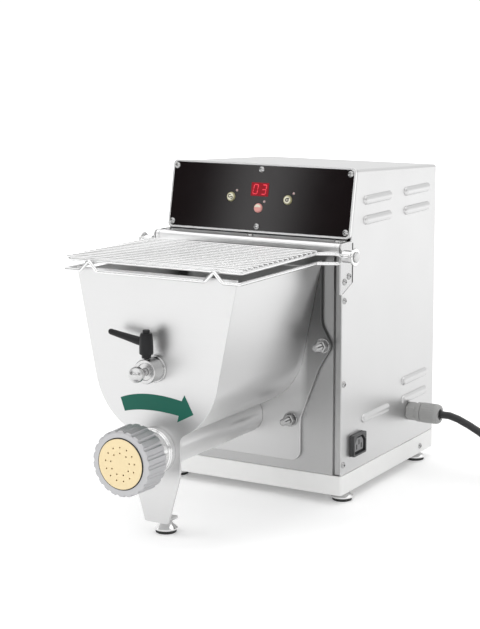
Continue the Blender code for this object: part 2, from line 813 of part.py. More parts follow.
def louvre_shells(name, shrink, drop, depth):
    """The bulging outer halves of all louvres, or the smaller ones that hollow them."""
    group = bmesh.new()
    for side in (-1, 1):
        for y, z in louvre_places():
            pill = bmesh.new()
            bmesh.ops.create_uvsphere(pill, u_segments=LOUVRE_SIDES, v_segments=LOUVRE_RINGS, radius=1.0)
            half = LOUVRE_HEIGHT / 2 - shrink
            bulge = LOUVRE_BULGE + SHEET / 2 - shrink
            bmesh.ops.rotate(pill, cent=(0, 0, 0), matrix=Matrix.Rotation(math.pi / 2, 3, "X"),
                             verts=pill.verts)
            bmesh.ops.scale(pill, vec=(bulge, half, half), verts=pill.verts)
            stretch = LOUVRE_LENGTH / 2 - LOUVRE_HEIGHT / 2
            for vert in pill.verts:
                vert.co.y += math.copysign(stretch, vert.co.y) if abs(vert.co.y) > MERGE else 0.0
            belt = [vert for vert in pill.verts if abs(vert.co.y) <= MERGE]
            bmesh.ops.delete(pill, geom=belt, context="VERTS")
            ends = [edge for edge in pill.edges if edge.is_boundary]
            bmesh.ops.bridge_loops(pill, edges=ends)
            cut_face = bmesh.ops.bisect_plane(
                pill, geom=pill.verts[:] + pill.edges[:] + pill.faces[:], plane_co=(-depth, 0, 0),
                plane_no=(1, 0, 0), clear_inner=True)
            rim = [item for item in cut_face["geom_cut"] if isinstance(item, bmesh.types.BMEdge)]
            bmesh.ops.holes_fill(pill, edges=rim)
            if side < 0:
                bmesh.ops.scale(pill, vec=(-1, 1, 1), verts=pill.verts)
            middle = (side * (HALF_WIDTH - SHEET / 2), y + LOUVRE_LENGTH / 2,
                      z + LOUVRE_HEIGHT / 2 - drop)
            bmesh.ops.translate(pill, vec=middle, verts=pill.verts)
            bmesh.ops.recalc_face_normals(pill, faces=pill.faces)
            scratch = bpy.data.meshes.new("scratch")
            pill.to_mesh(scratch)
            pill.free()
            group.from_mesh(scratch)
            bpy.data.meshes.remove(scratch)
    mesh = bpy.data.meshes.new(name)
    group.to_mesh(mesh)
    group.free()
    return put(name, mesh, None)


def casing():
    blank = plate("casing", [side_outline()], BODY_WIDTH, "satin_steel", (0.0, 0.0, 0.0), SIDE_VIEW)
    shape = bmesh.new()
    shape.from_mesh(blank.data)
    bmesh.ops.dissolve_limit(shape, angle_limit=math.radians(1), verts=shape.verts,
                             edges=shape.edges)
    opened = [face for face in shape.faces if abs(face.normal.z) < FACING_SHARE
              and (face.normal.y < STEEP_SHARE or face.calc_center_median().y < HOOD_TOP)]
    bmesh.ops.delete(shape, geom=opened, context="FACES")
    shape.faces.ensure_lookup_table()
    long_edges = [edge for edge in shape.edges if len(edge.link_faces) == 2]
    bmesh.ops.bevel(shape, geom=long_edges, offset=TOP_EDGE_RADIUS, segments=CORNER_STEPS,
                    profile=ROUND_SHARE, affect="EDGES")
    shape.to_mesh(blank.data)
    shape.free()
    wall = blank.modifiers.new("wall", "SOLIDIFY")
    wall.thickness = SHEET
    wall.offset = -1.0
    wall.use_even_offset = True
    outer = louvre_shells("louvre_hoods", 0.0, 0.0, SHEET / 4)
    inner = louvre_shells("louvre_hollows", LOUVRE_SKIN, LOUVRE_DROP, SHEET)
    cut(outer, inner)
    cut(blank, inner)
    join(blank, outer)
    outlet_hole = block("outlet_hole", (CASING_INSIDE - OVERRUN, OUTLET_FRONT - GAP, OUTLET_LOW - GAP),
                        (HALF_WIDTH + OVERRUN, OUTLET_FRONT + OUTLET_WIDTH + GAP,
                         OUTLET_LOW + OUTLET_HEIGHT + GAP), None)
    gland_hole = drill("gland_hole", GLAND_THREAD + GAP, (HALF_WIDTH, GLAND_Y, GLAND_Z), TO_RIGHT,
                       SHEET + OVERRUN)
    cut(blank, outlet_hole, gland_hole)
    low = TRAY_TOP + SIDE_SCREW_UP
    high = HOOD_TOP - SIDE_SCREW_DROP
    heights = (low, low + (high - low) * SIDE_SCREW_MIDDLE_SHARE, high)
    screws = [place_at((side * HALF_WIDTH, SIDE_SCREW_Y, z), turn)
              for side, turn in ((-1, TO_LEFT), (1, TO_RIGHT)) for z in heights]
    join(blank, gather("side_screws", [screw_head()], screws))


def front_panel():
    """A sheet with a stepped strip and a flange folded back at each side."""
    outer = CASING_INSIDE - SHEET
    flat = outer - STRIP_WIDTH - GAP
    half = [(flat, 0.0), (flat + STRIP_STEP / 2, STRIP_STEP), (outer, STRIP_STEP),
            (outer, FLANGE_DEPTH)]
    path = [(-x, y) for x, y in half[::-1]] + half
    low = TRAY_TOP + GAP
    high = HOOD_TOP - SHEET - GAP
    panel = plate("front_panel", [sheet_path(path, SHEET)], high - low, "satin_steel",
                  (0.0, 0.0, (low + high) / 2))
    for z in (MIXER_Z, AUGER_Z):
        cut(panel, drill("shaft_hole", PANEL_HOLE, (0.0, 0.0, z), TO_FRONT, 2 * SHEET + OVERRUN))


def drill(name, radius, at, turn, reach, carrier=MACHINE, steps=ROUND):
    """A round cutter, reaching as far on both sides of its place."""
    return turned(name, [(0.0, reach), (radius, reach), (radius, -reach), (0.0, -reach)], None, at,
                  turn, carrier, steps)


def rear_panel():
    back = BODY_DEPTH - REAR_INSET
    half = CASING_INSIDE - GAP
    top = BODY_HEIGHT - TOP_FALL - SHEET - GAP
    low = TRAY_FLOOR + GAP
    outline = filleted([(-half, low), (half, low), (half, top, TOP_EDGE_RADIUS),
                        (-half, top, TOP_EDGE_RADIUS)])
    panel = plate("rear_panel", [outline], SHEET, "satin_steel", (0.0, back + SHEET / 2, 0.0), TO_FRONT)
    aside = half - REAR_SCREW_MARGIN
    screws = [place_at((side * aside, back + SHEET, z), TO_BACK) for side in (-1, 1)
              for z in (TRAY_TOP + REAR_SCREW_MARGIN, top - REAR_SCREW_MARGIN)]
    join(panel, gather("rear_screws", [screw_head()], screws))


# Control panel, built in the leaning frame of its own: x across, y up the panel, z outwards

def button_places():
    return {
        "button_left": (-BUTTON_SPREAD, BUTTON_UP),
        "button_right": (BUTTON_SPREAD, BUTTON_UP),
        "button_centre": (0.0, BUTTON_LOW_UP),
    }


def lamp_places():
    return [(x + LED_ASIDE, y + LED_ABOVE) for x, y in button_places().values()]


def panel_holes():
    """Holes through the fascia and its overlay for the display, the buttons and the lamps."""
    half = DISPLAY_WIDTH / 2 + GAP
    low = DISPLAY_UP - DISPLAY_HEIGHT / 2 - GAP
    high = DISPLAY_UP + DISPLAY_HEIGHT / 2 + GAP
    holes = [rectangle((-half, low), (half, high))]
    holes += [circle(BUTTON_RADIUS + GAP, SMALL, place) for place in button_places().values()]
    holes += [circle(LED_RADIUS + GAP, SMALL, place) for place in lamp_places()]
    return holes


def overlay_outline(margin):
    half = HALF_WIDTH - margin
    return rectangle((-half, margin), (half, FASCIA_HEIGHT - margin), OVERLAY_CORNER)


def control_fascia():
    edge = rectangle((-HALF_WIDTH, 0.0), (HALF_WIDTH, FASCIA_HEIGHT), FASCIA_CORNER)
    fascia = plate("control_fascia", [edge] + panel_holes(), FASCIA_THICK, "polished_steel",
                   (0.0, 0.0, -FASCIA_THICK / 2), carrier=PANEL)
    depth = OVERLAY_THICK + GAP
    recess = plate("overlay_recess", [overlay_outline(OVERLAY_MARGIN - GAP)], depth + OVERRUN, None,
                   (0.0, 0.0, (OVERRUN - depth) / 2), carrier=PANEL)
    cut(fascia, recess)
    overlay = plate("control_overlay", [overlay_outline(OVERLAY_MARGIN)] + panel_holes(),
                    OVERLAY_THICK, "black_glass", (0.0, 0.0, -OVERLAY_THICK / 2), carrier=PANEL)
    aside = HALF_WIDTH - PANEL_SCREW_INSET
    screws = [place_at((side * aside, y, 0.0)) for side in (-1, 0, 1)
              for y in (PANEL_SCREW_LOW, FASCIA_HEIGHT - PANEL_SCREW_TOP)]
    join(overlay, gather("panel_screws", [screw_head()], screws, PANEL))


def display_window():
    half = DISPLAY_WIDTH / 2
    low = DISPLAY_UP - DISPLAY_HEIGHT / 2
    block("display_window", (-half, low, GAP - DISPLAY_THICK), (half, low + DISPLAY_HEIGHT, GAP),
          "red_window", PANEL)


def buttons():
    """Push buttons: a domed cap, a flange behind the fascia and a stem to the key switch."""
    behind = FASCIA_THICK + GAP
    end = BOARD_DEPTH - KEY_SWITCH / 3 - BUTTON_TRAVEL - GAP
    colours = {"button_left": "cream_plastic", "button_right": "cream_plastic",
               "button_centre": "pink_lamp"}
    for name, (x, y) in button_places().items():
        profile = [
            (0.0, BUTTON_PROUD), (BUTTON_RADIUS * 0.75, BUTTON_PROUD * 0.85),
            (BUTTON_RADIUS, BUTTON_PROUD * 0.4), (BUTTON_RADIUS, -behind),
            (BUTTON_RADIUS + BUTTON_FLANGE, -behind),
            (BUTTON_RADIUS + BUTTON_FLANGE, -behind - BUTTON_FLANGE),
            (BUTTON_STEM, -behind - BUTTON_FLANGE), (BUTTON_STEM, -end), (0.0, -end),
        ]
        turned(name, profile, colours[name], (x, y, 0.0), carrier=PANEL, steps=SMALL)


def screw_head():
    """A domed head, sunk a little into the sheet it is joined to."""
    return turned("screw_head", [(0.0, SCREW_DOME), (SCREW_RADIUS, SCREW_DOME * 0.2),
                                 (SCREW_RADIUS, -SCREW_SINK), (0.0, -SCREW_SINK)], None, steps=TINY)


def control_board():
    """The circuit board behind the buttons, with its key switches, lamps and stand-offs."""
    front = -BOARD_DEPTH
    root = front - BOARD_THICK / 2
    low = (FASCIA_HEIGHT - BOARD_HEIGHT) / 2
    half = BOARD_WIDTH / 2
    board = block("control_board", (-half, low, front - BOARD_THICK),
                  (half, low + BOARD_HEIGHT, front), "board_green", PANEL)
    key = turned("key", disc(KEY_SWITCH * 0.7, root, front + KEY_SWITCH / 3), None, steps=4)
    leg = turned("leg", disc(STANDOFF_RADIUS, root, -FASCIA_THICK - GAP), None, steps=TINY)
    lamp = turned("lamp", [(0.0, LED_RADIUS / 2), (LED_RADIUS * 0.7, LED_RADIUS / 3),
                           (LED_RADIUS, 0.0), (LED_RADIUS, root), (0.0, root)], None, steps=TINY)
    keys = [place_at((x, y, 0.0)) for x, y in button_places().values()]
    lamps = [place_at((x, y, 0.0)) for x, y in lamp_places()]
    margin = 2 * STANDOFF_RADIUS
    legs = [place_at((side * (half - margin), y, 0.0)) for side in (-1, 1)
            for y in (low + margin, low + BOARD_HEIGHT - margin)]
    join(board, gather("board_keys", [key], keys, PANEL), gather("board_legs", [leg], legs, PANEL),
         gather("board_lamps", [lamp], lamps, PANEL))


# Hood, brackets and the outside screws

def trim_hood():
    """A bent sheet with a rolled nose, whose flat shelf runs back under the control panel."""
    path = filleted([
        (HOOD_BACK, HOOD_TOP), (-HOOD_REACH, HOOD_TOP, HOOD_NOSE),
        (-HOOD_REACH, HOOD_TOP - HOOD_DROP, 2 * SHEET), (-GAP, HOOD_TOP - HOOD_DROP),
    ], closed=False)
    hood = plate("trim_hood", [sheet_path(path, SHEET)], BODY_WIDTH - 2 * HOOD_INSET,
                 "polished_steel", turn=SIDE_VIEW)
    aside = HALF_WIDTH - HOOD_SCREW_INSET
    screws = [place_at((side * aside, HOOD_SCREW_Y, HOOD_TOP)) for side in (-1, 0, 1)]
    join(hood, gather("hood_screws", [screw_head()], screws))


def lid_brackets():
    """Flat side plates with a slanted lower edge, each with the pin on which the lid pivots."""
    front = -BRACKET_FRONT
    outline = filleted([
        (front, BRACKET_LOW, SHEET), (BRACKET_BACK, BRACKET_LOW + BRACKET_RISE, SHEET),
        (BRACKET_BACK, HOOD_TOP), (front + HOOD_NOSE / 2, HOOD_TOP, HOOD_NOSE / 2),
        (front, HOOD_TOP - HOOD_NOSE, HOOD_NOSE / 2),
    ])
    start = HALF_WIDTH + BRACKET_OUT + GAP
    face = start + BRACKET_THICK
    head = HUB_START + HUB_LENGTH + GAP
    for name, side, turn in (("lid_bracket_left", -1, TO_LEFT), ("lid_bracket_right", 1, TO_RIGHT)):
        bracket = plate(name, [outline], BRACKET_THICK, "satin_steel",
                        (side * (start + BRACKET_THICK / 2), 0.0, 0.0), SIDE_VIEW)
        pin = turned("pivot_pin", [
            (0.0, head + PIVOT_HEAD_THICK), (PIVOT_HEAD - GAP, head + PIVOT_HEAD_THICK),
            (PIVOT_HEAD, head + PIVOT_HEAD_THICK / 2), (PIVOT_HEAD, head), (PIVOT_RADIUS, head),
            (PIVOT_RADIUS, start + BRACKET_THICK / 2), (0.0, start + BRACKET_THICK / 2),
        ], None, (0.0, -LID_PIVOT_Y, LID_PIVOT_Z), turn, steps=SMALL)
        screws = [place_at((side * face, y, HOOD_TOP - drop), turn) for y, drop in (
            (BRACKET_SCREW_FRONT_Y, BRACKET_SCREW_FRONT_DROP),
            (BRACKET_SCREW_BACK_Y, BRACKET_SCREW_BACK_DROP))]
        join(bracket, pin, gather("bracket_screws", [screw_head()], screws))


# Feet

def foot(name, x, y, under, above):
    """A chrome cone with a threaded stud, on a rubber pad."""
    low = PAD_HEIGHT + GAP
    top = under - GAP
    stud = above + STUD_HEIGHT
    turned("foot_" + name, [
        (0.0, stud), (STUD_RADIUS, stud), (STUD_RADIUS, top), (CONE_NECK, top),
        (CONE_RADIUS * CONE_WAIST_SHARE, low + CONE_RIM + (top - low) * CONE_RISE_SHARE),
        (CONE_RADIUS, low + CONE_RIM), (PAD_RADIUS, low), (0.0, low),
    ], "chrome", (x, y, 0.0), steps=SMALL)
    turned("pad_" + name, [
        (0.0, PAD_HEIGHT), (PAD_RADIUS, PAD_HEIGHT), (PAD_RADIUS, PAD_HEIGHT / 3),
        (PAD_RADIUS - PAD_HEIGHT / 4, 0.0), (0.0, 0.0),
    ], "black_rubber", (x, y, 0.0), steps=SMALL)


def feet():
    for name, (x, y) in foot_places().items():
        foot(name, x, y, TRAY_BOTTOM, TRAY_FLOOR)
    foot("leg", 0.0, -LEG_FOOT, LEG_BOTTOM, LEG_BOTTOM + PLATE_THICK)


# Hopper

def flare_tangent(radius, half_top, top):
    """Where a straight side from the top corner meets the round bottom, as an angle."""
    rise = top - MIXER_Z
    reach = math.hypot(half_top, rise)
    return math.atan2(rise, half_top) - math.acos(radius / reach)


def hopper_edge():
    """The right half of the front plate with its leg, from the top down, as (x, z)."""
    start = flare_tangent(PLATE_ARC, PLATE_TOP_HALF, PLATE_TOP)
    fillet_x = LEG_HALF + LEG_FILLET
    fillet_drop = math.sqrt((PLATE_ARC + LEG_FILLET) ** 2 - fillet_x ** 2)
    end = math.atan2(-fillet_drop, fillet_x)
    edge = [(PLATE_TOP_HALF, PLATE_TOP)]
    edge += arc(PLATE_ARC, start, end, ARC_STEPS, (0.0, MIXER_Z))
    centre = (fillet_x, MIXER_Z - fillet_drop)
    edge += arc(LEG_FILLET, math.pi + end, math.pi, CORNER_STEPS, centre)[1:]
    leg = filleted([
        edge[-1], (LEG_HALF, LEG_BEND_Z, LEG_BEND_RADIUS),
        (LEG_FOOT_HALF, LEG_BOTTOM, LEG_CORNER), (0.0, LEG_BOTTOM),
    ], closed=False)
    return edge + leg[1:-1]


def mirrored(half):
    return half + [(-x, z) for x, z in half[::-1]]


def hopper_front_plate():
    holes = [circle(TUBE_BORE, FINE, (0.0, AUGER_Z)), circle(PIN_RADIUS + GAP, SMALL, (0.0, MIXER_Z))]
    front = plate("hopper_front_plate", [mirrored(hopper_edge())] + holes, PLATE_THICK,
                  "polished_steel", (0.0, -PLATE_BACK - PLATE_THICK / 2, 0.0), TO_FRONT)
    half = LEG_FOOT_HALF - LEG_CORNER
    flange = block("leg_flange", (-half, -PLATE_BACK - PLATE_THICK / 2, LEG_BOTTOM),
                   (half, -FLANGE_BACK, LEG_BOTTOM + PLATE_THICK), None)
    above = (0.0, -LEG_FOOT, LEG_BOTTOM + PLATE_THICK)
    join(front, flange, gather("leg_nut", [weld_nut()], [place_at(above)]))
    cut(front, drill("leg_hole", STUD_RADIUS + GAP, above, (0.0, 0.0, 0.0),
                     FOOT_NUT_HEIGHT + OVERRUN, steps=SMALL))


def circle_meet(radius, other):
    """The angle on a circle about the mixer's axis where it meets one about the auger's."""
    spacing = AUGER_MIXER_SPACING
    drop = (radius ** 2 - other ** 2 + spacing ** 2) / (2 * spacing)
    return -math.acos(drop / radius)


def hopper_trough():
    """Two bent sheets from the rim down to the auger tube, which is open to them at its top."""
    outer = PLATE_ARC - TROUGH_INSET
    inner = outer - TROUGH_SHEET
    slope = flare_tangent(PLATE_ARC, PLATE_TOP_HALF, PLATE_TOP)
    tube = (TUBE_RADIUS + TUBE_BORE) / 2

    def skin(radius):
        start = (radius * math.cos(slope), MIXER_Z + radius * math.sin(slope))
        rise = TROUGH_TOP - start[1]
        top = (start[0] - rise * math.tan(slope), TROUGH_TOP)
        end = -math.pi / 2 - circle_meet(radius, tube)
        return [top] + arc(radius, slope, end, ARC_STEPS, (0.0, MIXER_Z))

    half = skin(outer) + skin(inner)[::-1]
    length = HOPPER_FRONT - HOPPER_BACK
    middle = -(HOPPER_FRONT + HOPPER_BACK) / 2
    start = math.pi / 2 + math.asin(TUBE_SLOT / TUBE_RADIUS)
    end = math.pi / 2 - math.asin(TUBE_SLOT / TUBE_RADIUS) + math.tau
    section = arc(TUBE_RADIUS, start, end, FINE) + arc(TUBE_BORE, end, start, FINE)
    section = [(x, z + AUGER_Z) for x, z in section]
    trough = plate("hopper_trough", [section], length, "polished_steel", (0.0, middle, 0.0), TO_FRONT)
    for side in (-1, 1):
        outline = [(side * x, z) for x, z in half]
        join(trough, plate("hopper_side", [outline], length, None, (0.0, middle, 0.0), TO_FRONT))


def rear_plate_edge():
    """The plate's edge, with a round ear at each upper bolt and round lower corners."""
    low = BOLT_LOW_Z - REAR_FOOT_DROP
    half = filleted([
        (REAR_TOP_HALF, REAR_TOP_Z), (REAR_TOP_HALF, BOLT_HIGH_Z + REAR_EAR_RISE, REAR_SOFT_TURN),
        (BOLT_HIGH_X + REAR_EAR_OUT, BOLT_HIGH_Z, REAR_EAR_ROUND),
        (REAR_TOP_HALF - REAR_EAR_NECK, BOLT_HIGH_Z - REAR_EAR_DROP, REAR_SOFT_TURN),
        (BOLT_LOW_X + REAR_FOOT_SIDE, BOLT_LOW_Z + REAR_FOOT_SHOULDER, REAR_SOFT_TURN),
        (BOLT_LOW_X + REAR_FOOT_SIDE, low, REAR_FOOT_ROUND), (0.0, low),
    ], closed=False)
    return mirrored(half[:-1])


def hopper_rear_plate():
    holes = [circle(SEAL_RADIUS + GAP, ROUND, (0.0, z)) for z in (MIXER_Z, AUGER_Z)]
    plate("hopper_rear_plate", [rear_plate_edge()] + holes, REAR_THICK, "satin_steel",
          (0.0, -GAP - REAR_THICK / 2, 0.0), TO_FRONT)


def hopper_nuts():
    """A washer, a hexagon nut and a stud end at each of the four fixings of the hopper."""
    face = REAR_FACE + GAP
    nut = face + WASHER_THICK
    top = nut + NUT_HEIGHT
    tip = top + STUD_TIP
    pattern = turned("nut_pattern", [
        (0.0, tip), (STUD_TIP_RADIUS * 0.7, tip), (STUD_TIP_RADIUS, tip - STUD_TIP_RADIUS / 2),
        (STUD_TIP_RADIUS, nut), (WASHER_RADIUS, nut), (WASHER_RADIUS, face), (0.0, face),
    ], None, steps=SMALL)
    hexagon = turned("hexagon", [
        (0.0, top), (NUT_RADIUS * 0.85, top), (NUT_RADIUS, nut + NUT_HEIGHT * 0.85),
        (NUT_RADIUS, nut - WASHER_THICK / 2), (0.0, nut - WASHER_THICK / 2),
    ], None, steps=6)
    join(pattern, hexagon)
    copies(pattern, "chrome", {
        "nut_high_left": ((-BOLT_HIGH_X, 0.0, BOLT_HIGH_Z), TO_FRONT),
        "nut_high_right": ((BOLT_HIGH_X, 0.0, BOLT_HIGH_Z), TO_FRONT),
        "nut_low_left": ((-BOLT_LOW_X, 0.0, BOLT_LOW_Z), TO_FRONT),
        "nut_low_right": ((BOLT_LOW_X, 0.0, BOLT_LOW_Z), TO_FRONT),
    })
    bpy.data.objects.remove(hexagon, do_unlink=True)


def disc(radius, low, high):
    return [(0.0, high), (radius, high), (radius, low), (0.0, low)]


def tube_profile(inner, outer, low, high):
    return [(inner, high), (outer, high), (outer, low), (inner, low)]


# Nozzle, die and ring nut, on the auger's axis

def nozzle():
    back = PLATE_FRONT + GAP
    collar = back + NOZZLE_COLLAR_LENGTH
    turned("nozzle", [
        (TUBE_BORE, NOZZLE_FRONT), (NOZZLE_THREAD, NOZZLE_FRONT), (NOZZLE_THREAD, RING_BACK),
        (NOZZLE_NECK, RING_BACK), (NOZZLE_NECK, collar), (NOZZLE_COLLAR, collar),
        (NOZZLE_COLLAR, back), (TUBE_BORE, back),
    ], "cast_aluminium", (0.0, 0.0, AUGER_Z), TO_FRONT, steps=FINE, ring=True)


def ring_nut():
    """A tapered nut with ribs all round and an inner lip that holds the die."""
    bore = NOZZLE_THREAD + GAP
    lip = DIE_RADIUS + DIE_LIP_CLEAR
    edge = DIE_LIP_CLEAR
    nut = turned("ring_nut", [
        (lip, RING_FRONT), (RING_FACE_RADIUS, RING_FRONT),
        (RING_FRONT_RADIUS, RING_FRONT - RING_SHOULDER), (RING_BACK_RADIUS, RING_BACK + edge),
        (RING_BACK_RADIUS - edge, RING_BACK), (bore, RING_BACK), (bore, DIE_STEP), (lip, DIE_STEP),
    ], "cast_aluminium", (0.0, 0.0, 0.0), TO_FRONT, AUGER, steps=2 * RING_RIBS, ring=True)
    taper = math.atan2(RING_BACK_RADIUS - RING_FRONT_RADIUS, RING_LENGTH)
    out = (RING_BACK_RADIUS + RING_FRONT_RADIUS) / 2 - RING_GROOVE + RING_CUTTER
    middle = (RING_FRONT + RING_BACK) / 2
    reach = RING_LENGTH / 2 + OVERRUN
    groove = turned("groove", disc(RING_CUTTER, -reach, reach), None, steps=TINY)
    places = []
    for i in range(RING_RIBS):
        around = Matrix.Rotation(math.tau * i / RING_RIBS, 4, "Z")
        lean = Matrix.Rotation(-taper, 4, "Y")
        places.append(turn_matrix(TO_FRONT) @ around @ Matrix.Translation((out, 0.0, middle)) @ lean)
    cut(nut, gather("ring_grooves", [groove], places, AUGER))


def die():
    """A bronze disc with two circles of small holes, and a flange behind the nut's lip."""
    step = DIE_BACK + DIE_FLANGE
    disc_piece = turned("die", [
        (0.0, DIE_FRONT), (DIE_RADIUS, DIE_FRONT), (DIE_RADIUS, step), (NOZZLE_THREAD, step),
        (NOZZLE_THREAD, DIE_BACK), (0.0, DIE_BACK),
    ], "pale_bronze", (0.0, 0.0, 0.0), TO_FRONT, AUGER, steps=FINE)
    hole = turned("hole", disc(DIE_HOLE, DIE_BACK - OVERRUN, DIE_FRONT + OVERRUN), None, steps=6)
    places = []
    for count, radius in ((DIE_OUTER_HOLES, DIE_OUTER_CIRCLE), (DIE_INNER_HOLES, DIE_INNER_CIRCLE)):
        for i in range(count):
            angle = math.tau * i / count + math.pi / 2
            shift = Matrix.Translation((radius * math.cos(angle), radius * math.sin(angle), 0.0))
            places.append(turn_matrix(TO_FRONT) @ shift)
    cut(disc_piece, gather("die_holes", [hole], places, AUGER))


# Front boss, pull pin and clamping lever

def mixer_boss():
    back = PLATE_FRONT + GAP
    flange = back + BOSS_FLANGE_THICK
    edge = BOSS_RECESS_DEPTH / 2
    boss = turned("mixer_boss", [
        (PIN_RADIUS + GAP, BOSS_FRONT - BOSS_RECESS_DEPTH), (BOSS_RECESS, BOSS_FRONT - BOSS_RECESS_DEPTH),
        (BOSS_RECESS, BOSS_FRONT), (BOSS_RADIUS - edge, BOSS_FRONT),
        (BOSS_RADIUS, BOSS_FRONT - edge), (BOSS_RADIUS, flange), (BOSS_FLANGE, flange),
        (BOSS_FLANGE, back), (PIN_RADIUS + GAP, back),
    ], "polished_steel", (0.0, 0.0, MIXER_Z), TO_FRONT, ring=True)
    foot = MIXER_Z + BOSS_RECESS
    stud = turned("lever_stud", disc(LEVER_STUD, foot, MIXER_Z + BOSS_RADIUS + LEVER_STUD_LENGTH),
                  None, (0.0, -LEVER_Y, 0.0), steps=TINY)
    join(boss, stud)


def pull_pin():
    """A pin through the boss into the paddle's end, with a ball to pull it by."""
    ball = PLATE_FRONT + PIN_BALL_AHEAD
    start = math.acos(PIN_RADIUS / PIN_BALL)
    profile = [(0.0, ball + PIN_BALL)]
    profile += arc(PIN_BALL, math.pi / 2, -start, SMALL // 2, (0.0, ball))[1:]
    profile += [(PIN_RADIUS, PLATE_FRONT - PIN_INSIDE), (0.0, PLATE_FRONT - PIN_INSIDE)]
    turned("pull_pin", profile, "polished_steel", (0.0, 0.0, 0.0), TO_FRONT, MIXER)


def clamp_lever():
    """A black lever whose hub turns on the stud of the boss and whose arm points left."""
    barrel = LEVER_COLLAR_HEIGHT + LEVER_BARREL_HEIGHT
    top = barrel + LEVER_CAP_HEIGHT
    bore = LEVER_STUD + GAP
    deep = MIXER_Z + BOSS_RADIUS + LEVER_STUD_LENGTH + GAP - LEVER_LOW
    lever = turned("clamp_lever", [
        (0.0, top), (LEVER_CAP, top), (LEVER_CAP, barrel), (LEVER_BARREL_TOP, barrel),
        (LEVER_BARREL, LEVER_COLLAR_HEIGHT), (LEVER_COLLAR, LEVER_COLLAR_HEIGHT),
        (LEVER_COLLAR, 0.0), (bore, 0.0), (bore, deep), (0.0, deep),
    ], "black_plastic", carrier=LEVER)
    rise = math.atan2(LEVER_ARM_RISE, LEVER_ARM)
    arm = turned("lever_arm", [
        (0.0, LEVER_ARM), (LEVER_ARM_TIP * 0.75, LEVER_ARM), (LEVER_ARM_TIP, LEVER_ARM - LEVER_ARM_TIP),
        (LEVER_ARM_THICK, LEVER_STUD + 2 * GAP), (0.0, LEVER_STUD + 2 * GAP),
    ], None, (0.0, 0.0, LEVER_ARM_Z), (0.0, rise - math.pi / 2, 0.0), LEVER, steps=TINY)
    join(lever, arm)


# Wire lid

def lid_point(x, y, z):
    return (x, y + LID_PIVOT_Y, z - LID_PIVOT_Z)


def rounded_path(points, radius):
    """A path in space whose inner corners are rounded off."""
    path = [points[0]]
    for before, here, after in zip(points, points[1:], points[2:]):
        corner = Vector(here)
        first = corner + (Vector(before) - corner).normalized() * radius
        last = corner + (Vector(after) - corner).normalized() * radius
        for i in range(CORNER_STEPS + 1):
            share = i / CORNER_STEPS
            blend = first.lerp(corner, share).lerp(corner.lerp(last, share), share)
            path.append(tuple(blend))
    path.append(points[-1])
    return path


def wire_lid():
    """A rod bent round the hopper from hub to hub, with cross wires welded on its sides."""
    end_y = -LID_PIVOT_Y - HUB_RADIUS + LID_ROD / 2
    end_z = LID_PIVOT_Z + LID_ROD / 2
    half = [
        (LID_HUB_X, end_y, end_z), (LID_ARM_HALF, end_y - LID_CORNER, end_z),
        (LID_ARM_HALF, -LID_STEP_Y + LID_CORNER, LID_UPPER_Z),
        (LID_HALF, -LID_STEP_Y - LID_CORNER, LID_UPPER_Z), (LID_HALF, -LID_FRONT, LID_UPPER_Z),
    ]
    points = half + [(-x, y, z) for x, y, z in half[::-1]]
    points = [lid_point(*point) for point in points]
    lid = as_mesh(rod("wire_lid", rounded_path(points, LID_CORNER), LID_ROD, "chrome", LID), "chrome")
    height = LID_UPPER_Z + LID_ROD + LID_WIRE / 2
    reach = LID_HALF + LID_WIRE_OVERHANG
    wire = turned("wire", disc(LID_WIRE, -reach, reach), None, steps=6)
    first = LID_STEP_Y + LID_CORNER + LID_ROD
    step = (LID_FRONT - first) / (LID_WIRES - 1)
    places = [place_at(lid_point(0.0, -first - i * step, height), TO_RIGHT) for i in range(LID_WIRES)]
    end = HUB_START + HUB_LENGTH
    hub = turned("hub", [
        (0.0, end), (HUB_DISC, end), (HUB_DISC, end - HUB_DISC_THICK),
        (HUB_RADIUS, end - HUB_DISC_THICK), (HUB_RADIUS, HUB_START), (0.0, HUB_START),
    ], None)
    hubs =[place_at((0.0, 0.0, 0.0), turn) for turn in (TO_LEFT, TO_RIGHT)]
    join(lid, gather("cross_wires", [wire], places, LID), gather("lid_hubs", [hub], hubs, LID))
    bore = turned("hub_bore", disc(PIVOT_RADIUS + GAP, HUB_START - OVERRUN,
                                   HUB_START + HUB_LENGTH + OVERRUN), None, steps=SMALL)
    cut(lid, gather("hub_bores", [bore], hubs, LID))


def lid_lower_rod():
    """The lower rod of the lid, which follows the upper one and meets it at two bumps in front."""
    front = -LID_FRONT - 2 * LID_ROD - GAP
    back = -LID_PIVOT_Y - HUB_RADIUS - LID_TAIL
    low = LID_LOWER_Z
    half = [
        (LID_ARM_HALF, back, low), (LID_ARM_HALF, -LID_STEP_Y + LID_CORNER, low),
        (LID_HALF, -LID_STEP_Y - LID_CORNER, low), (LID_HALF, front, low),
        (LID_BUMP_X + LID_BUMP_HALF, front, low), (LID_BUMP_X, front, LID_UPPER_Z),
        (LID_BUMP_X - LID_BUMP_HALF, front, low),
    ]
    points = half + [(-x, y, z) for x, y, z in half[::-1]]
    points = [lid_point(*point) for point in points]
    rod("lid_lower_rod", rounded_path(points, LID_ROD), LID_ROD, "chrome", LID)


# Mixing paddle, auger and their drive shafts

def rear_slot(carrier, radius):
    """A cutter for the slot in the rear end of a shaft that takes the drive tongue."""
    half = TONGUE / 2 + GAP
    return block("drive_slot", (-half, -SHAFT_AHEAD - GAP, -radius - OVERRUN),
                 (half, OVERRUN - SHAFT_AHEAD + TONGUE_LENGTH, radius + OVERRUN), None, carrier)


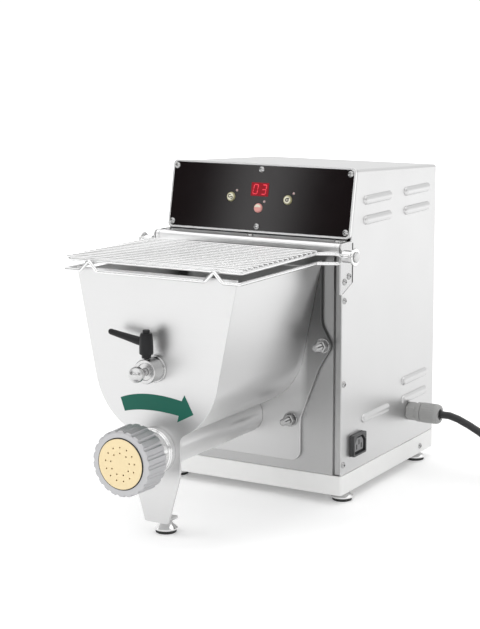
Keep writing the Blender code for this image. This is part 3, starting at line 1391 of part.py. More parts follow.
def mixing_paddle():
    front = PLATE_BACK - PADDLE_CLEAR
    back = SHAFT_AHEAD - TONGUE_LENGTH + GAP
    paddle = turned("mixing_paddle", disc(PADDLE_SHAFT, back, front), "polished_steel",
                    (0.0, 0.0, 0.0), TO_FRONT, MIXER)
    first = PADDLE_FIRST
    step = (front - PIN_INSIDE - first) / (PADDLE_BARS - 1)
    for i in range(PADDLE_BARS):
        side = i % 2
        twist = math.pi * side + (PADDLE_TWIST if i % 4 < 2 else -PADDLE_TWIST)
        edge = PADDLE_BAR / 4
        bar = turned("paddle_bar", [
            (0.0, PADDLE_REACH), (PADDLE_BAR - edge, PADDLE_REACH), (PADDLE_BAR, PADDLE_REACH - edge),
            (PADDLE_BAR, 0.0), (0.0, 0.0),
        ], None, (0.0, -first - i * step, 0.0), (0.0, twist, 0.0), MIXER, steps=SMALL)
        join(paddle, bar)
    depth = PLATE_FRONT - PIN_INSIDE - GAP
    bore = turned("pin_bore", disc(PIN_RADIUS + GAP, depth, front + OVERRUN), None, (0.0, 0.0, 0.0),
                  TO_FRONT, MIXER, steps=SMALL)
    cut(paddle, bore, rear_slot(MIXER, PADDLE_SHAFT))


def auger_section():
    """The core of the auger with one flight standing on it, as (x, y)."""
    points = arc(AUGER_RADIUS, -AUGER_LAND, AUGER_LAND, 2)
    points += arc(AUGER_CORE, AUGER_ROOT, math.tau - AUGER_ROOT, AUGER_SIDES)
    return points


def auger():
    """A left-hand screw: its section turned about the axis while it moves along it."""
    front = NOZZLE_FRONT - AUGER_TIP_CLEAR
    back = SHAFT_AHEAD - TONGUE_LENGTH + GAP
    steps = round((front - back) / AUGER_PITCH * AUGER_STEPS)
    shape = bmesh.new()
    ring = [shape.verts.new((x, y, back)) for x, y in auger_section()]
    count = len(ring)
    start = [shape.edges.new((ring[i], ring[(i + 1) % count])) for i in range(count)]
    shape.faces.new(ring)
    spun = bmesh.ops.spin(shape, geom=start, cent=(0, 0, 0), axis=(0, 0, 1),
                          dvec=(0, 0, (front - back) / steps),
                          angle=-math.tau * steps / AUGER_STEPS, steps=steps)
    last = [item for item in spun["geom_last"] if isinstance(item, bmesh.types.BMEdge)]
    bmesh.ops.holes_fill(shape, edges=last)
    bmesh.ops.remove_doubles(shape, verts=shape.verts, dist=MERGE)
    bmesh.ops.recalc_face_normals(shape, faces=shape.faces)
    mesh = bpy.data.meshes.new("auger")
    shape.to_mesh(mesh)
    shape.free()
    screw = put("auger", mesh, "polished_steel", (0.0, 0.0, 0.0), TO_FRONT, AUGER)
    cut(screw, rear_slot(AUGER, AUGER_CORE))


def drive_shaft(name, carrier):
    """A shaft from the gear plate to the hopper, with a flat tongue on its front end."""
    step = SHAFT_AHEAD - TONGUE_LENGTH
    shaft = turned(name, disc(SHAFT_RADIUS, -SHAFT_BACK, step), "gear_steel", (0.0, 0.0, 0.0),
                   TO_FRONT, carrier)
    half = TONGUE / 2
    tall = PADDLE_SHAFT - OVERRUN / 2
    tongue = block("tongue", (-half, -SHAFT_AHEAD, -tall), (half, OVERRUN - step, tall), None,
                   carrier)
    join(shaft, tongue)


# Gear train behind the front panel

def involute(angle):
    return math.tan(angle) - angle


def gear_outline(teeth, first):
    """Involute teeth, the middle of one of them at the given angle."""
    pitch = MODULE * teeth / 2
    base = pitch * math.cos(PRESSURE_ANGLE)
    tip = pitch + MODULE * ADDENDUM_SHARE
    root = pitch - MODULE * DEDENDUM_SHARE
    half = math.pi / (2 * teeth) - BACKLASH / (4 * pitch) + involute(PRESSURE_ANGLE)
    low = max(base, root)
    flank = []
    if root < base:
        flank.append((root, half))
    for i in range(FLANK_STEPS + 1):
        radius = low + (tip - low) * i / FLANK_STEPS
        flank.append((radius, half - involute(math.acos(min(1.0, base / radius)))))
    points = []
    for k in range(teeth):
        middle = first + math.tau * k / teeth
        tooth = [(radius, middle - angle) for radius, angle in flank]
        tooth += [(radius, middle + angle) for radius, angle in flank[::-1]]
        points += [(radius * math.cos(angle), radius * math.sin(angle)) for radius, angle in tooth]
    return points


def gears():
    """A pinion drives the mixer's wheel, and the mixer's wheel drives the auger's."""
    up = math.pi / 2
    bore = circle(SHAFT_CLEAR, ROUND)
    middle = (0.0, GEAR_FRONT + GEAR_WIDTH / 2, 0.0)
    holes = [circle(GEAR_HOLE, TINY, place)
             for place in arc(GEAR_HOLE_CIRCLE, 0.0, math.tau, GEAR_HOLES)[1:]]
    plate("mixer_gear", [gear_outline(MIXER_TEETH, up), bore] + holes, GEAR_WIDTH, "gear_steel",
          middle, TO_FRONT, MIXER)
    plate("auger_gear", [gear_outline(AUGER_TEETH, up + math.pi / AUGER_TEETH), bore], GEAR_WIDTH,
          "gear_steel", middle, TO_FRONT, AUGER)
    pinion = plate("drive_pinion", [gear_outline(DRIVE_TEETH, -up + math.pi / DRIVE_TEETH)],
                   PINION_WIDTH, "gear_steel", (0.0, GEAR_FRONT + PINION_WIDTH / 2, 0.0), TO_FRONT,
                   DRIVE)
    end = GEAR_PLATE_Y + GEAR_PLATE_THICK - GAP
    join(pinion, turned("pinion_shaft", disc(SHAFT_RADIUS, -end, -GEAR_FRONT + OVERRUN), None,
                        (0.0, 0.0, 0.0), TO_FRONT, DRIVE))


def with_bushes(piece, start, end, heights):
    """Join a round bush on a plate at each height, between two Y, and bore it for its shaft."""
    bush = turned("bush", disc(BEARING_RADIUS, -end, -start), None)
    reach = GEAR_PLATE_THICK
    bore = turned("bore", disc(SHAFT_CLEAR, -end - reach, reach - start), None)
    places = [place_at((0.0, 0.0, z), TO_FRONT) for z in heights]
    join(piece, gather("bushes", [bush], places))
    cut(piece, gather("bores", [bore], places))


def gear_plate():
    """The plate behind the gears, with its pillars and the bushes of the three shafts."""
    low = TRAY_FLOOR + GAP
    half = GEAR_PLATE_HALF
    middle = GEAR_PLATE_Y + GEAR_PLATE_THICK / 2
    piece = plate("gear_plate", [rectangle((-half, low), (half, GEAR_PLATE_TOP))], GEAR_PLATE_THICK,
                  "gear_steel", (0.0, middle, 0.0), TO_FRONT)
    pillar = turned("pillar", disc(SPACER_RADIUS, -middle, -SHEET - GAP), None, steps=SMALL)
    aside = half - SPACER_MARGIN
    places = [place_at((side * aside, 0.0, z), TO_FRONT) for side in (-1, 1)
              for z in (TRAY_TOP + SPACER_MARGIN, GEAR_PLATE_TOP - SPACER_MARGIN)]
    join(piece, gather("pillars", [pillar], places))
    start = GEAR_PLATE_Y + GEAR_PLATE_THICK - BEARING_WIDTH
    with_bushes(piece, start, middle, (AUGER_Z, MIXER_Z, DRIVE_Z))


def bearing_plate():
    """The plate behind the front panel that carries the front ends of both shafts."""
    front = SHEET + GAP
    reach = BEARING_RADIUS + SPACER_RADIUS
    low = (-reach, AUGER_Z - reach)
    high = (reach, MIXER_Z + reach)
    piece = plate("bearing_plate", [rectangle(low, high, SPACER_RADIUS)], GEAR_PLATE_THICK,
                  "gear_steel", (0.0, front + GEAR_PLATE_THICK / 2, 0.0), TO_FRONT)
    with_bushes(piece, front + GEAR_PLATE_THICK / 2, front + BEARING_WIDTH, (AUGER_Z, MIXER_Z))


def seals():
    ring = turned("seal_ring", tube_profile(SHAFT_CLEAR, SEAL_RADIUS, GAP, REAR_FACE), None,
                  ring=True)
    copies(ring, "black_rubber", {
        "mixer_seal": ((0.0, 0.0, MIXER_Z), TO_FRONT),
        "auger_seal": ((0.0, 0.0, AUGER_Z), TO_FRONT),
    })


# Gearbox, motor and the electrical pieces

def gearbox():
    front = GEAR_PLATE_Y + GEAR_PLATE_THICK + GAP
    half = GEARBOX_SIZE / 2
    case = block("gearbox", (-half, front, DRIVE_Z - half),
                 (half, front + GEARBOX_LENGTH, DRIVE_Z + half), "cast_aluminium")
    soften(case, GEARBOX_EDGE, 2)


def motor():
    front = GEAR_PLATE_Y + GEAR_PLATE_THICK + 2 * GAP + GEARBOX_LENGTH
    back = front + MOTOR_LENGTH
    bell = MOTOR_RADIUS - MOTOR_BELL / 4
    body = turned("motor", [
        (0.0, -front), (bell - MOTOR_BELL / 4, -front), (bell, -front - MOTOR_BELL / 4),
        (bell, -front - MOTOR_BELL), (MOTOR_RADIUS, -front - MOTOR_BELL),
        (MOTOR_RADIUS, -back + MOTOR_BELL), (bell, -back + MOTOR_BELL),
        (bell, -back + MOTOR_BELL / 4), (bell - MOTOR_BELL / 4, -back), (0.0, -back),
    ], "motor_paint", (0.0, 0.0, DRIVE_Z), TO_FRONT, steps=FINE)
    foot = back - STAND_AHEAD
    stand = block("motor_stand", (-STAND_HALF, foot, TRAY_FLOOR + GAP),
                  (STAND_HALF, foot + STAND_THICK, DRIVE_Z - STAND_THICK), None)
    join(body, stand)


def lid_switch():
    out = CASING_INSIDE - GAP
    front = FLANGE_DEPTH + SWITCH_WIDTH / 2
    low = HOOD_TOP - SWITCH_BELOW
    switch = block("lid_switch", (out - SWITCH_WIDTH, front, low),
                   (out, front + SWITCH_DEPTH, low + SWITCH_HEIGHT), "black_plastic")
    soften(switch, SWITCH_WIDTH / 12)


# Outlet in the right side, cable gland and mains cord

def outlet_outline(margin):
    """The opening of the outlet, with two cut corners at the top, as (y, z)."""
    low_y = OUTLET_FRONT + margin
    high_y = OUTLET_FRONT + OUTLET_WIDTH - margin
    low_z = OUTLET_LOW + margin
    high_z = OUTLET_LOW + OUTLET_HEIGHT - margin
    return [
        (low_y, low_z), (high_y, low_z), (high_y, high_z - OUTLET_CHAMFER),
        (high_y - OUTLET_CHAMFER, high_z), (low_y + OUTLET_CHAMFER, high_z),
        (low_y, high_z - OUTLET_CHAMFER),
    ]


def outlet():
    outside = HALF_WIDTH + OUTLET_PROUD
    inside = HALF_WIDTH - OUTLET_DEPTH
    edge = rectangle((OUTLET_FRONT, OUTLET_LOW),
                     (OUTLET_FRONT + OUTLET_WIDTH, OUTLET_LOW + OUTLET_HEIGHT), SHEET)
    plate("outlet_socket", [edge, outlet_outline(OUTLET_WALL)], outside - inside, "black_plastic",
          ((outside + inside) / 2, 0.0, 0.0), SIDE_VIEW)
    face = outside - OUTLET_RECESS
    insert = plate("outlet_insert", [outlet_outline(OUTLET_WALL + GAP)], face - inside,
                   "grey_plastic", ((face + inside) / 2, 0.0, 0.0), SIDE_VIEW)
    middle_y = OUTLET_FRONT + OUTLET_WIDTH / 2
    middle_z = OUTLET_LOW + OUTLET_HEIGHT / 2
    half_long = SLOT_LENGTH / 2
    slots = []
    for across, up in ((-1, -1), (0, 1), (1, -1)):
        y = middle_y + across * SLOT_ASIDE
        z = middle_z + up * half_long / 2
        slots.append(block("slot", (face - SLOT_DEPTH, y - SLOT_WIDTH / 2, z - half_long),
                           (face + OVERRUN, y + SLOT_WIDTH / 2, z + half_long), None))
    cut(insert, *slots)


def cable_gland():
    """The gland outside the casing, its thread through the wall and the nut inside."""
    thread_end = CASING_INSIDE - GLAND_BASE_LENGTH
    base = HALF_WIDTH + GAP
    groove = base + GLAND_BASE_LENGTH
    ring = groove + GLAND_GROOVE_LENGTH
    cap = ring + GLAND_RING_LENGTH
    dome = GLAND_END - GLAND_CAP / 2
    at = (0.0, GLAND_Y, GLAND_Z)
    gland = turned("cable_gland", [
        (0.0, GLAND_END), (GLAND_MOUTH, GLAND_END), (GLAND_CAP * 0.8, GLAND_END - GLAND_CAP / 8),
        (GLAND_CAP, dome), (GLAND_CAP, cap + GAP), (GLAND_RING, cap), (GLAND_RING, ring),
        (GLAND_GROOVE, ring), (GLAND_GROOVE, groove), (GLAND_BASE, groove), (GLAND_BASE, base),
        (GLAND_THREAD, base), (GLAND_THREAD, thread_end), (0.0, thread_end),
    ], "grey_plastic", at, TO_RIGHT, steps=SMALL)
    inside = CASING_INSIDE - GAP
    nut = turned("gland_nut", disc(GLAND_NUT, inside - GLAND_RING_LENGTH, inside), None, at, TO_RIGHT,
                 steps=6)
    join(gland, nut)


def path_length(points):
    return sum((Vector(b) - Vector(a)).length for a, b in zip(points, points[1:]))


def coil_points():
    """Two layers of loops: the lower one winds inwards and the upper one back outwards."""
    start = Vector(CORD_ROUTE[-1]) + Vector((GAP, 0.0, 0.0))
    straight = 2 * CORD_RADIUS
    left = CORD_LENGTH - path_length(CORD_ROUTE) - 2 * straight - RELIEF_LENGTH
    turns = round(left / (math.tau * COIL_RADIUS) * COIL_POINTS) / COIL_POINTS
    deep = turns / 2
    outer = COIL_RADIUS + COIL_STEP * deep / 2
    centre = start + Vector((straight, -outer, 0.0))
    points = [tuple(start)]
    for i in range(round(turns * COIL_POINTS) + 1):
        along = i / COIL_POINTS
        inwards = min(along, turns - along)
        radius = outer - COIL_STEP * inwards
        angle = math.pi / 2 - math.tau * along
        climb = min(1.0, max(0.0, (along - deep) * 2 + 0.5))
        height = COIL_LAYER * climb * climb * (3.0 - 2.0 * climb)
        points.append((centre.x + radius * math.cos(angle), centre.y + radius * math.sin(angle),
                       centre.z + height))
    heading = math.pi / 2 - math.tau * turns - math.pi / 2
    tail = Vector(points[-1]) + Vector((math.cos(heading), math.sin(heading), 0.0)) * straight
    points.append(tuple(tail))
    return points, heading


def print_coil_gap(points):
    least = CORD_LENGTH
    for i, first in enumerate(points):
        for second in points[i + COIL_POINTS // 3:]:
            least = min(least, (Vector(second) - Vector(first)).length - 2 * CORD_RADIUS)
    print("least gap between the loops of the coil, in mm:", round(least * 1000, 3))


def mains_cord():
    rod("mains_cord", CORD_ROUTE, CORD_RADIUS, "black_rubber")
    points, heading = coil_points()
    print_coil_gap(points)
    rod("cord_coil", points, CORD_RADIUS, "black_rubber")
    print("cord length, in m:", round(path_length(CORD_ROUTE) + path_length(points), 4))
    along = Vector((math.cos(heading), math.sin(heading), 0.0))
    start = Vector(points[-1]) + along * GAP
    turn = (0.0, math.pi / 2, heading)
    neck = RELIEF_LENGTH + CORD_RADIUS
    plug = plate("mains_plug", [filleted([
        (RELIEF_LENGTH, RELIEF_RADIUS), (RELIEF_LENGTH, -RELIEF_RADIUS),
        (neck + RELIEF_RADIUS, -PLUG_WIDTH / 2, CORD_RADIUS),
        (RELIEF_LENGTH + PLUG_LENGTH, -PLUG_WIDTH / 2, CORD_RADIUS),
        (RELIEF_LENGTH + PLUG_LENGTH, PLUG_WIDTH / 2, CORD_RADIUS),
        (neck + RELIEF_RADIUS, PLUG_WIDTH / 2, CORD_RADIUS),
    ])], PLUG_THICK, "black_plastic", tuple(start), (0.0, 0.0, heading))
    relief = turned("strain_relief", [
        (0.0, neck), (RELIEF_RADIUS, neck), (RELIEF_RADIUS * 0.85, 0.0), (0.0, 0.0),
    ], None, tuple(start), turn, steps=SMALL)
    join(plug, relief)
    face = RELIEF_LENGTH + PLUG_LENGTH
    half = PLUG_PIN_STEP + 2 * PLUG_PIN
    tall = 2 * PLUG_PIN
    straight = (0.0, 0.0, heading)
    at = tuple(start)
    seat = plate("pin_seat", [rectangle((face - RELIEF_RADIUS, -half), (face + OVERRUN, half))],
                 2 * tall, None, at, straight)
    cut(plug, seat)
    pins = plate("plug_pins", [rectangle((face - RELIEF_RADIUS + GAP, GAP - half), (face, half - GAP))],
                 2 * tall - 2 * GAP, "chrome", at, straight)
    end = face + PLUG_PIN_LENGTH
    across = Vector((-along.y, along.x, 0.0))
    for k in (-1, 0, 1):
        pin = turned("pin", [
            (0.0, end), (PLUG_PIN / 2, end), (PLUG_PIN, end - PLUG_PIN / 2),
            (PLUG_PIN, face - PLUG_PIN), (0.0, face - PLUG_PIN),
        ], None, tuple(start + across * (k * PLUG_PIN_STEP)), turn, steps=TINY)
        join(pins, pin)


base_tray()
casing()
front_panel()
rear_panel()
control_fascia()
display_window()
buttons()
control_board()
trim_hood()
lid_brackets()
feet()
hopper_front_plate()
hopper_trough()
hopper_rear_plate()
hopper_nuts()
nozzle()
ring_nut()
die()
mixer_boss()
pull_pin()
clamp_lever()
wire_lid()
lid_lower_rod()
mixing_paddle()
auger()
drive_shaft("mixer_drive_shaft", MIXER)
drive_shaft("auger_drive_shaft", AUGER)
gears()
gear_plate()
bearing_plate()
seals()
gearbox()
motor()
lid_switch()
outlet()
cable_gland()
mains_cord()
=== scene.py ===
"""The looks of an electric pasta maker: finer pieces over its CAD frame, finishes, light and view.

All sizes are metres. Pieces are placed in the machine's own frame, whose origin lies on the floor
under the middle of the front panel, and FRAME_Y moves them into the frame of the CAD model.
"""
import math
import bpy
from mathutils import Matrix, Vector


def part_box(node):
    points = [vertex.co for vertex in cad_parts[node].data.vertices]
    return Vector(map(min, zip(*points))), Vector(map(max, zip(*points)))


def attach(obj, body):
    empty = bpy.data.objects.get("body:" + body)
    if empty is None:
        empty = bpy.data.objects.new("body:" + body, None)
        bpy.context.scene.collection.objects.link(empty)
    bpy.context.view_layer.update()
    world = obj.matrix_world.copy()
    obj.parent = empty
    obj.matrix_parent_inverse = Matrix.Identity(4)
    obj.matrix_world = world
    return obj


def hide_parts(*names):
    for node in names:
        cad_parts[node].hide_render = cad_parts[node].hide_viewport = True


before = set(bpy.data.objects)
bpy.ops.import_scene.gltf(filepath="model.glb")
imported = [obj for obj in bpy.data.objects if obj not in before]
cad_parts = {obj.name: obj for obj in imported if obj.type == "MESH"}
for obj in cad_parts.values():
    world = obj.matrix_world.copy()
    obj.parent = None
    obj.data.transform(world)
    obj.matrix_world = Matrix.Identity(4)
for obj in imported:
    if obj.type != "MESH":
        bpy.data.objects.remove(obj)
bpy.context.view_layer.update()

# Where the machine's frame lies
FRAME_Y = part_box("front_panel")[0][1]
HALF_WIDTH = 0.12
SHEET = 0.0015
BODY_DEPTH = 0.256
BODY_HEIGHT = 0.38
TOP_FALL = 0.0125
TOP_EDGE_RADIUS = 0.0035
CASING_FRONT = 0.0005
TRAY_BOTTOM = 0.0113
TRAY_TOP = 0.0338
TRAY_PROUD = 0.001
TRAY_WALL = 0.002
TRAY_CORNER = 0.003

# Louvres in the sides: the front end and the lower edge of each, as (y, z)
LOUVRE_LENGTH = 0.073
LOUVRE_HEIGHT = 0.011
LOUVRE_BULGE = 0.0032
LOUVRE_SKIN = 0.0011
LOUVRE_DROP = 0.0007
LOUVRES = ((0.053, 0.0835), (0.053, 0.3135), (0.053, 0.3363), (0.163, 0.0835), (0.163, 0.1063),
    (0.163, 0.3135), (0.163, 0.3363))

# Outlet in the right side, as its lower front corner and its size
OUTLET_FRONT = 0.023
OUTLET_LOW = 0.0514
OUTLET_WIDTH = 0.032
OUTLET_HEIGHT = 0.0246
OUTLET_PROUD = 0.0055
OUTLET_RECESS = 0.003
OUTLET_WALL = 0.0022
OUTLET_CHAMFER = 0.007
OUTLET_CORNER = 0.0015

# Hood over the front panel and the side brackets
HOOD_HALF = 0.1155
HOOD_REACH = 0.0085
HOOD_DROP = 0.0115
HOOD_BACK = 0.0208
HOOD_NOSE = 0.005
BRACKET_THICK = 0.002
BRACKET_FRONT = 0.009
BRACKET_BACK = 0.019
BRACKET_LOW = 0.2415
BRACKET_RISE = 0.011
# How far the black strip behind each bracket reaches past its back and lower edges: painted shadow of the
# gap between bracket and casing
SHADOW_STRIP_BACK = 0.0068
SHADOW_STRIP_LOW = 0.003

# Control panel
PANEL_FOOT_Y = 0.0176
PANEL_FOOT_Z = 0.3015
PANEL_LEAN = math.radians(11.1)
PANEL_HEIGHT = 0.08
FASCIA_THICK = 0.004
FASCIA_CORNER = 0.005
OVERLAY_MARGIN = 0.0024
OVERLAY_CORNER = 0.005
OVERLAY_THICK = 0.001
DISPLAY_WIDTH = 0.0228
DISPLAY_HEIGHT = 0.0155
DISPLAY_UP = 0.05
KEY_RADIUS = 0.0054
KEY_PLACES = {"left": (-0.0373, 0.0397), "right": (0.0373, 0.0397), "centre": (0, 0.0284)}
LAMP_RADIUS = 0.0016
LAMP_ASIDE = 0.007
LAMP_ABOVE = 0.0078
PRINT_THICK = 0.00012
DIGIT_SLANT = math.radians(7)

# Screws with domed heads
SCREW_RADIUS = 0.0037
SCREW_DOME = 0.0021
HOOD_TOP = 0.3
BRACKET_FACE = 0.1225
REAR_FACE_Y = 0.2542
PANEL_SCREWS_X = (-0.1139, 0, 0.1139)
PANEL_SCREWS_UP = (0.0072, 0.073)
HOOD_SCREWS_X = (-0.111, 0, 0.111)
HOOD_SCREW_Y = 0.005
SIDE_SCREWS = ((HALF_WIDTH, 0.006, 0.046), (HALF_WIDTH, 0.006, 0.139), (HALF_WIDTH, 0.006, 0.234),
    (BRACKET_FACE, 0.0008, 0.2562), (BRACKET_FACE, 0.0115, 0.2612),
    (HALF_WIDTH + TRAY_PROUD, 0.217, 0.0203))
REAR_SCREW_X = 0.1062
REAR_SCREWS_Z = (0.0458, 0.3537)

# Hopper
PLATE_FRONT = 0.196
PLATE_THICK = 0.003
PLATE_TOP = 0.283
PLATE_TOP_HALF = 0.0992
PLATE_ARC = 0.0767
LEG_HALF = 0.03
LEG_BEND_Z = 0.069
LEG_FOOT_HALF = 0.0145
LEG_BOTTOM = 0.015
LEG_FILLET = 0.011
LEG_BEND_RADIUS = 0.06
LEG_CORNER = 0.003
LEG_FOOT = 0.177
FLANGE_BACK = 0.171
TROUGH_INSET = 0.0012
TROUGH_SHEET = 0.002
TROUGH_TOP = 0.279
TUBE_RADIUS = 0.022
TUBE_BORE = 0.0195
REAR_THICK = 0.004
SEAL_HOLE = 0.0133
ARROW_THICK = 0.00016
MIXER_Z = 0.1821
AUGER_Z = 0.0946
AXIS_SPACING = MIXER_Z - AUGER_Z
NUT_PLACES = {"nut_high_left": (-0.099, 0.183), "nut_high_right": (0.099, 0.183),
    "nut_low_left": (-0.0585, 0.094), "nut_low_right": (0.0585, 0.094)}

# Nozzle, ring nut and die
RING_BACK = 0.23
RING_FRONT = 0.2635
RING_BACK_RADIUS = 0.0356
RING_FRONT_RADIUS = 0.0348
RING_FACE_RADIUS = 0.0326
RING_SHOULDER = 0.0005
RING_RIBS = 22
RING_GROOVE = 0.0018
RING_CUTTER = 0.0026
RING_SET_BACK = 0.0017
DIE_RADIUS = 0.0266
DIE_STEP = 0.2572
DIE_BACK = 0.2549
DIE_FRONT = 0.2632
DIE_HOLE = 0.0008
DIE_CIRCLES = ((13, 0.0177), (9, 0.0115))
NOZZLE_THREAD = 0.0288
NOZZLE_NECK = 0.0225
NOZZLE_COLLAR = 0.025
NOZZLE_COLLAR_FRONT = 0.2043

# Boss, pull pin and clamping lever
BOSS_FRONT = 0.2168
BOSS_RADIUS = 0.013
BOSS_FLANGE = 0.0145
BOSS_RECESS = 0.009
PIN_RADIUS = 0.004
PIN_BALL = 0.0084
PIN_BALL_Y = 0.231
PIN_INSIDE_Y = 0.173
LEVER_Y = 0.2126
LEVER_LOW = 0.1962
LEVER_ARM = 0.0476
LEVER_RISE = 0.0088
LEVER_ARM_Z = 0.0156
LEVER_STUD = 0.0023
LEVER_FLAT = 0.82
LEVER_STUD_TOP = 0.2091

# Wire lid
PIVOT_Y = 0.006
PIVOT_Z = 0.286
LID_ROD = 0.002
LID_UPPER_Z = 0.2915
LID_LOWER_Z = 0.2808
LID_HALF = 0.107
LID_FRONT = 0.2005
LID_STEP_Y = 0.033
LID_ARM_HALF = 0.127
LID_TAIL = 0.0072
LID_CORNER = 0.005
LID_WIRE = 0.0014
LID_WIRES = 16
LID_OVERHANG = 0.0019
LID_BUMP_X = 0.077
LID_BUMP_HALF = 0.0105
HUB_RADIUS = 0.007
HUB_BORE = 0.0043
HUB_DISC = 0.01
HUB_DISC_THICK = 0.0025
HUB_START = 0.1245
HUB_LENGTH = 0.015

# Feet
PAD_RADIUS = 0.0113
PAD_HEIGHT = 0.0032
CONE_RADIUS = 0.0127
CONE_NECK = 0.0045
CONE_RIM = 0.002
STUD_RADIUS = 0.003
FOOT_HOLE = 0.0033
FOOT_PLACES = {"front_left": (-0.11, 0.0245), "front_right": (0.11, 0.0245), "back_left": (-0.11, 0.2275),
    "back_right": (0.11, 0.2275)}

# Cable gland and mains cord
GLAND_Y = 0.184
GLAND_Z = 0.072
GLAND_HOLE = 0.0083
GLAND_MOUTH = 0.159
CORD_RADIUS = 0.0044
CORD_LENGTH = 1.5
CORD_ROUTE = [(0.1621, 0.184, 0.072), (0.174, 0.184, 0.072), (0.185, 0.184, 0.0692), (0.199, 0.184, 0.0634),
    (0.213, 0.184, 0.0565), (0.226, 0.184, 0.048), (0.238, 0.184, 0.0375), (0.249, 0.184, 0.0262),
    (0.26, 0.184, 0.0155), (0.272, 0.184, 0.008), (0.285, 0.184, 0.0048), (0.296, 0.184, 0.0046),
    (0.306, 0.184, 0.0046)]
COIL_RADIUS = 0.049
COIL_STEP = 0.0094
COIL_LAYER = 0.0094
COIL_POINTS = 24
RELIEF_LENGTH = 0.04
GAP = 0.0003

# Turns that lay a local Z axis along a machine axis
TO_FRONT = (math.pi / 2, 0, 0)
TO_BACK = (-math.pi / 2, 0, 0)
TO_RIGHT = (0, math.pi / 2, 0)
TO_LEFT = (0, -math.pi / 2, 0)
SIDE_VIEW = (math.pi / 2, 0, math.pi / 2)
UPRIGHT = (0, 0, 0)
ORIGIN = (0, 0, 0)
PANEL_TURN = (math.pi / 2 - PANEL_LEAN, 0, 0)
SIDES = (("left", -1, TO_LEFT), ("right", 1, TO_RIGHT))

# View and light
CAMERA_AT = (0.92028, -1.60545, 0.54448)
CAMERA_TURN = (math.radians(90.0 - 8.171), 0, math.radians(30.062))
CAMERA_LENS = 93.857
CAMERA_SHIFT = -0.0954


def place(x, y, z):
    """A point of the machine's frame in the frame of the CAD model."""
    return Vector((x, y + FRAME_Y, z))


def on_panel(x, up, out=0):
    """A point on the leaning control panel."""
    return place(x, PANEL_FOOT_Y + up * math.sin(PANEL_LEAN) - out * math.cos(PANEL_LEAN),
        PANEL_FOOT_Z + up * math.cos(PANEL_LEAN) + out * math.sin(PANEL_LEAN))


# Lines that pieces are turned about, and the middle plane that side views are pulled from
AUGER_LINE = (place(0, 0, AUGER_Z), TO_FRONT)
MIXER_LINE = (place(0, 0, MIXER_Z), TO_FRONT)
GLAND_LINE = (place(0, GLAND_Y, GLAND_Z), TO_RIGHT)
SIDEWAYS = (place(0, 0, 0), SIDE_VIEW)


# The distance under which points are merged, and the tenths of a millimetre in a metre
WELD = 0.000002
TENTHS = 10000


# Modelling steps that many pieces share

def take(*pieces):
    """Selects these objects alone; the last one is the active one."""
    bpy.ops.object.select_all(action="DESELECT")
    for piece in pieces:
        piece.select_set(True)
    bpy.context.view_layer.objects.active = pieces[-1]


def trace(name, points, closed=False):
    """A chain of edges drawn point by point, left in edit mode."""
    bpy.ops.object.select_all(action="DESELECT")
    bpy.ops.mesh.primitive_plane_add(size=SHEET)
    piece = bpy.context.object
    piece.name = name
    bpy.ops.object.mode_set(mode="EDIT")
    bpy.ops.mesh.merge(type="CENTER")
    bpy.ops.transform.translate(value=points[0])
    for before, here in zip(points, points[1:]):
        step = Vector(here) - Vector(before)
        bpy.ops.mesh.extrude_vertices_move(TRANSFORM_OT_translate={"value": step})
    if closed:
        bpy.ops.mesh.select_all(action="SELECT")
        bpy.ops.mesh.edge_face_add()
    return piece


def lay(piece, centre, turn):
    """Turns a piece, moves it to its place and puts both into its mesh."""
    take(piece)
    piece.rotation_euler = turn
    piece.location = centre
    bpy.ops.object.transform_apply(location=True, rotation=True, scale=True)
    return piece


def turned(name, profile, centre=ORIGIN, turn=UPRIGHT, steps=64):
    """A piece turned on a lathe from a profile of (radius, height), from the top down.

    A profile that starts off the axis goes round a bore and is closed.
    """
    points = [(radius, 0, height) for radius, height in profile]
    if profile[0][0]:
        points.append(points[0])
    piece = trace(name, points)
    bpy.ops.mesh.select_all(action="SELECT")
    bpy.ops.mesh.spin(steps=steps, angle=math.tau, center=ORIGIN, axis=(0, 0, 1.0))
    bpy.ops.mesh.select_all(action="SELECT")
    bpy.ops.mesh.remove_doubles(threshold=WELD)
    bpy.ops.mesh.normals_make_consistent(inside=False)
    bpy.ops.object.mode_set(mode="OBJECT")
    return lay(piece, centre, turn)


def plate(name, outline, thickness, centre=ORIGIN, turn=UPRIGHT, edge=0):
    """A flat outline pulled to a thickness, half to each side, with its rims rounded."""
    piece = trace(name, [(x, y, -thickness / 2) for x, y in outline], closed=True)
    bpy.ops.mesh.extrude_region_move(TRANSFORM_OT_translate={"value": (0, 0, thickness)})
    bpy.ops.mesh.select_all(action="SELECT")
    bpy.ops.mesh.normals_make_consistent(inside=False)
    bpy.ops.object.mode_set(mode="OBJECT")
    if edge:
        round_edges(piece, edge)
    return lay(piece, centre, turn)


def round_edges(piece, width, segments=2, limit=35.0):
    take(piece)
    bevel = piece.modifiers.new("rounded", "BEVEL")
    bevel.width = width
    bevel.segments = segments
    bevel.limit_method = "ANGLE"
    bevel.angle_limit = math.radians(limit)
    bevel.harden_normals = False
    bpy.ops.object.modifier_apply(modifier=bevel.name)


def combine(piece, tool, operation):
    """Cuts a tool from a piece or joins it on, and takes the tool away."""
    take(piece)
    step = piece.modifiers.new(operation, "BOOLEAN")
    step.operation = operation
    step.solver = "EXACT"
    step.object = tool
    bpy.ops.object.modifier_apply(modifier=step.name)
    bpy.data.objects.remove(tool, do_unlink=True)


def carve(piece, *tools):
    for tool in tools:
        combine(piece, tool, "DIFFERENCE")


def fuse(piece, *tools):
    for tool in tools:
        combine(piece, tool, "UNION")


def gather(piece, *others):
    """Joins separate shells into one object."""
    take(*others, piece)
    bpy.ops.object.join()
    return piece


def duplicate(piece, name):
    take(piece)
    bpy.ops.object.duplicate()
    copy = bpy.context.object
    copy.name = name
    return copy


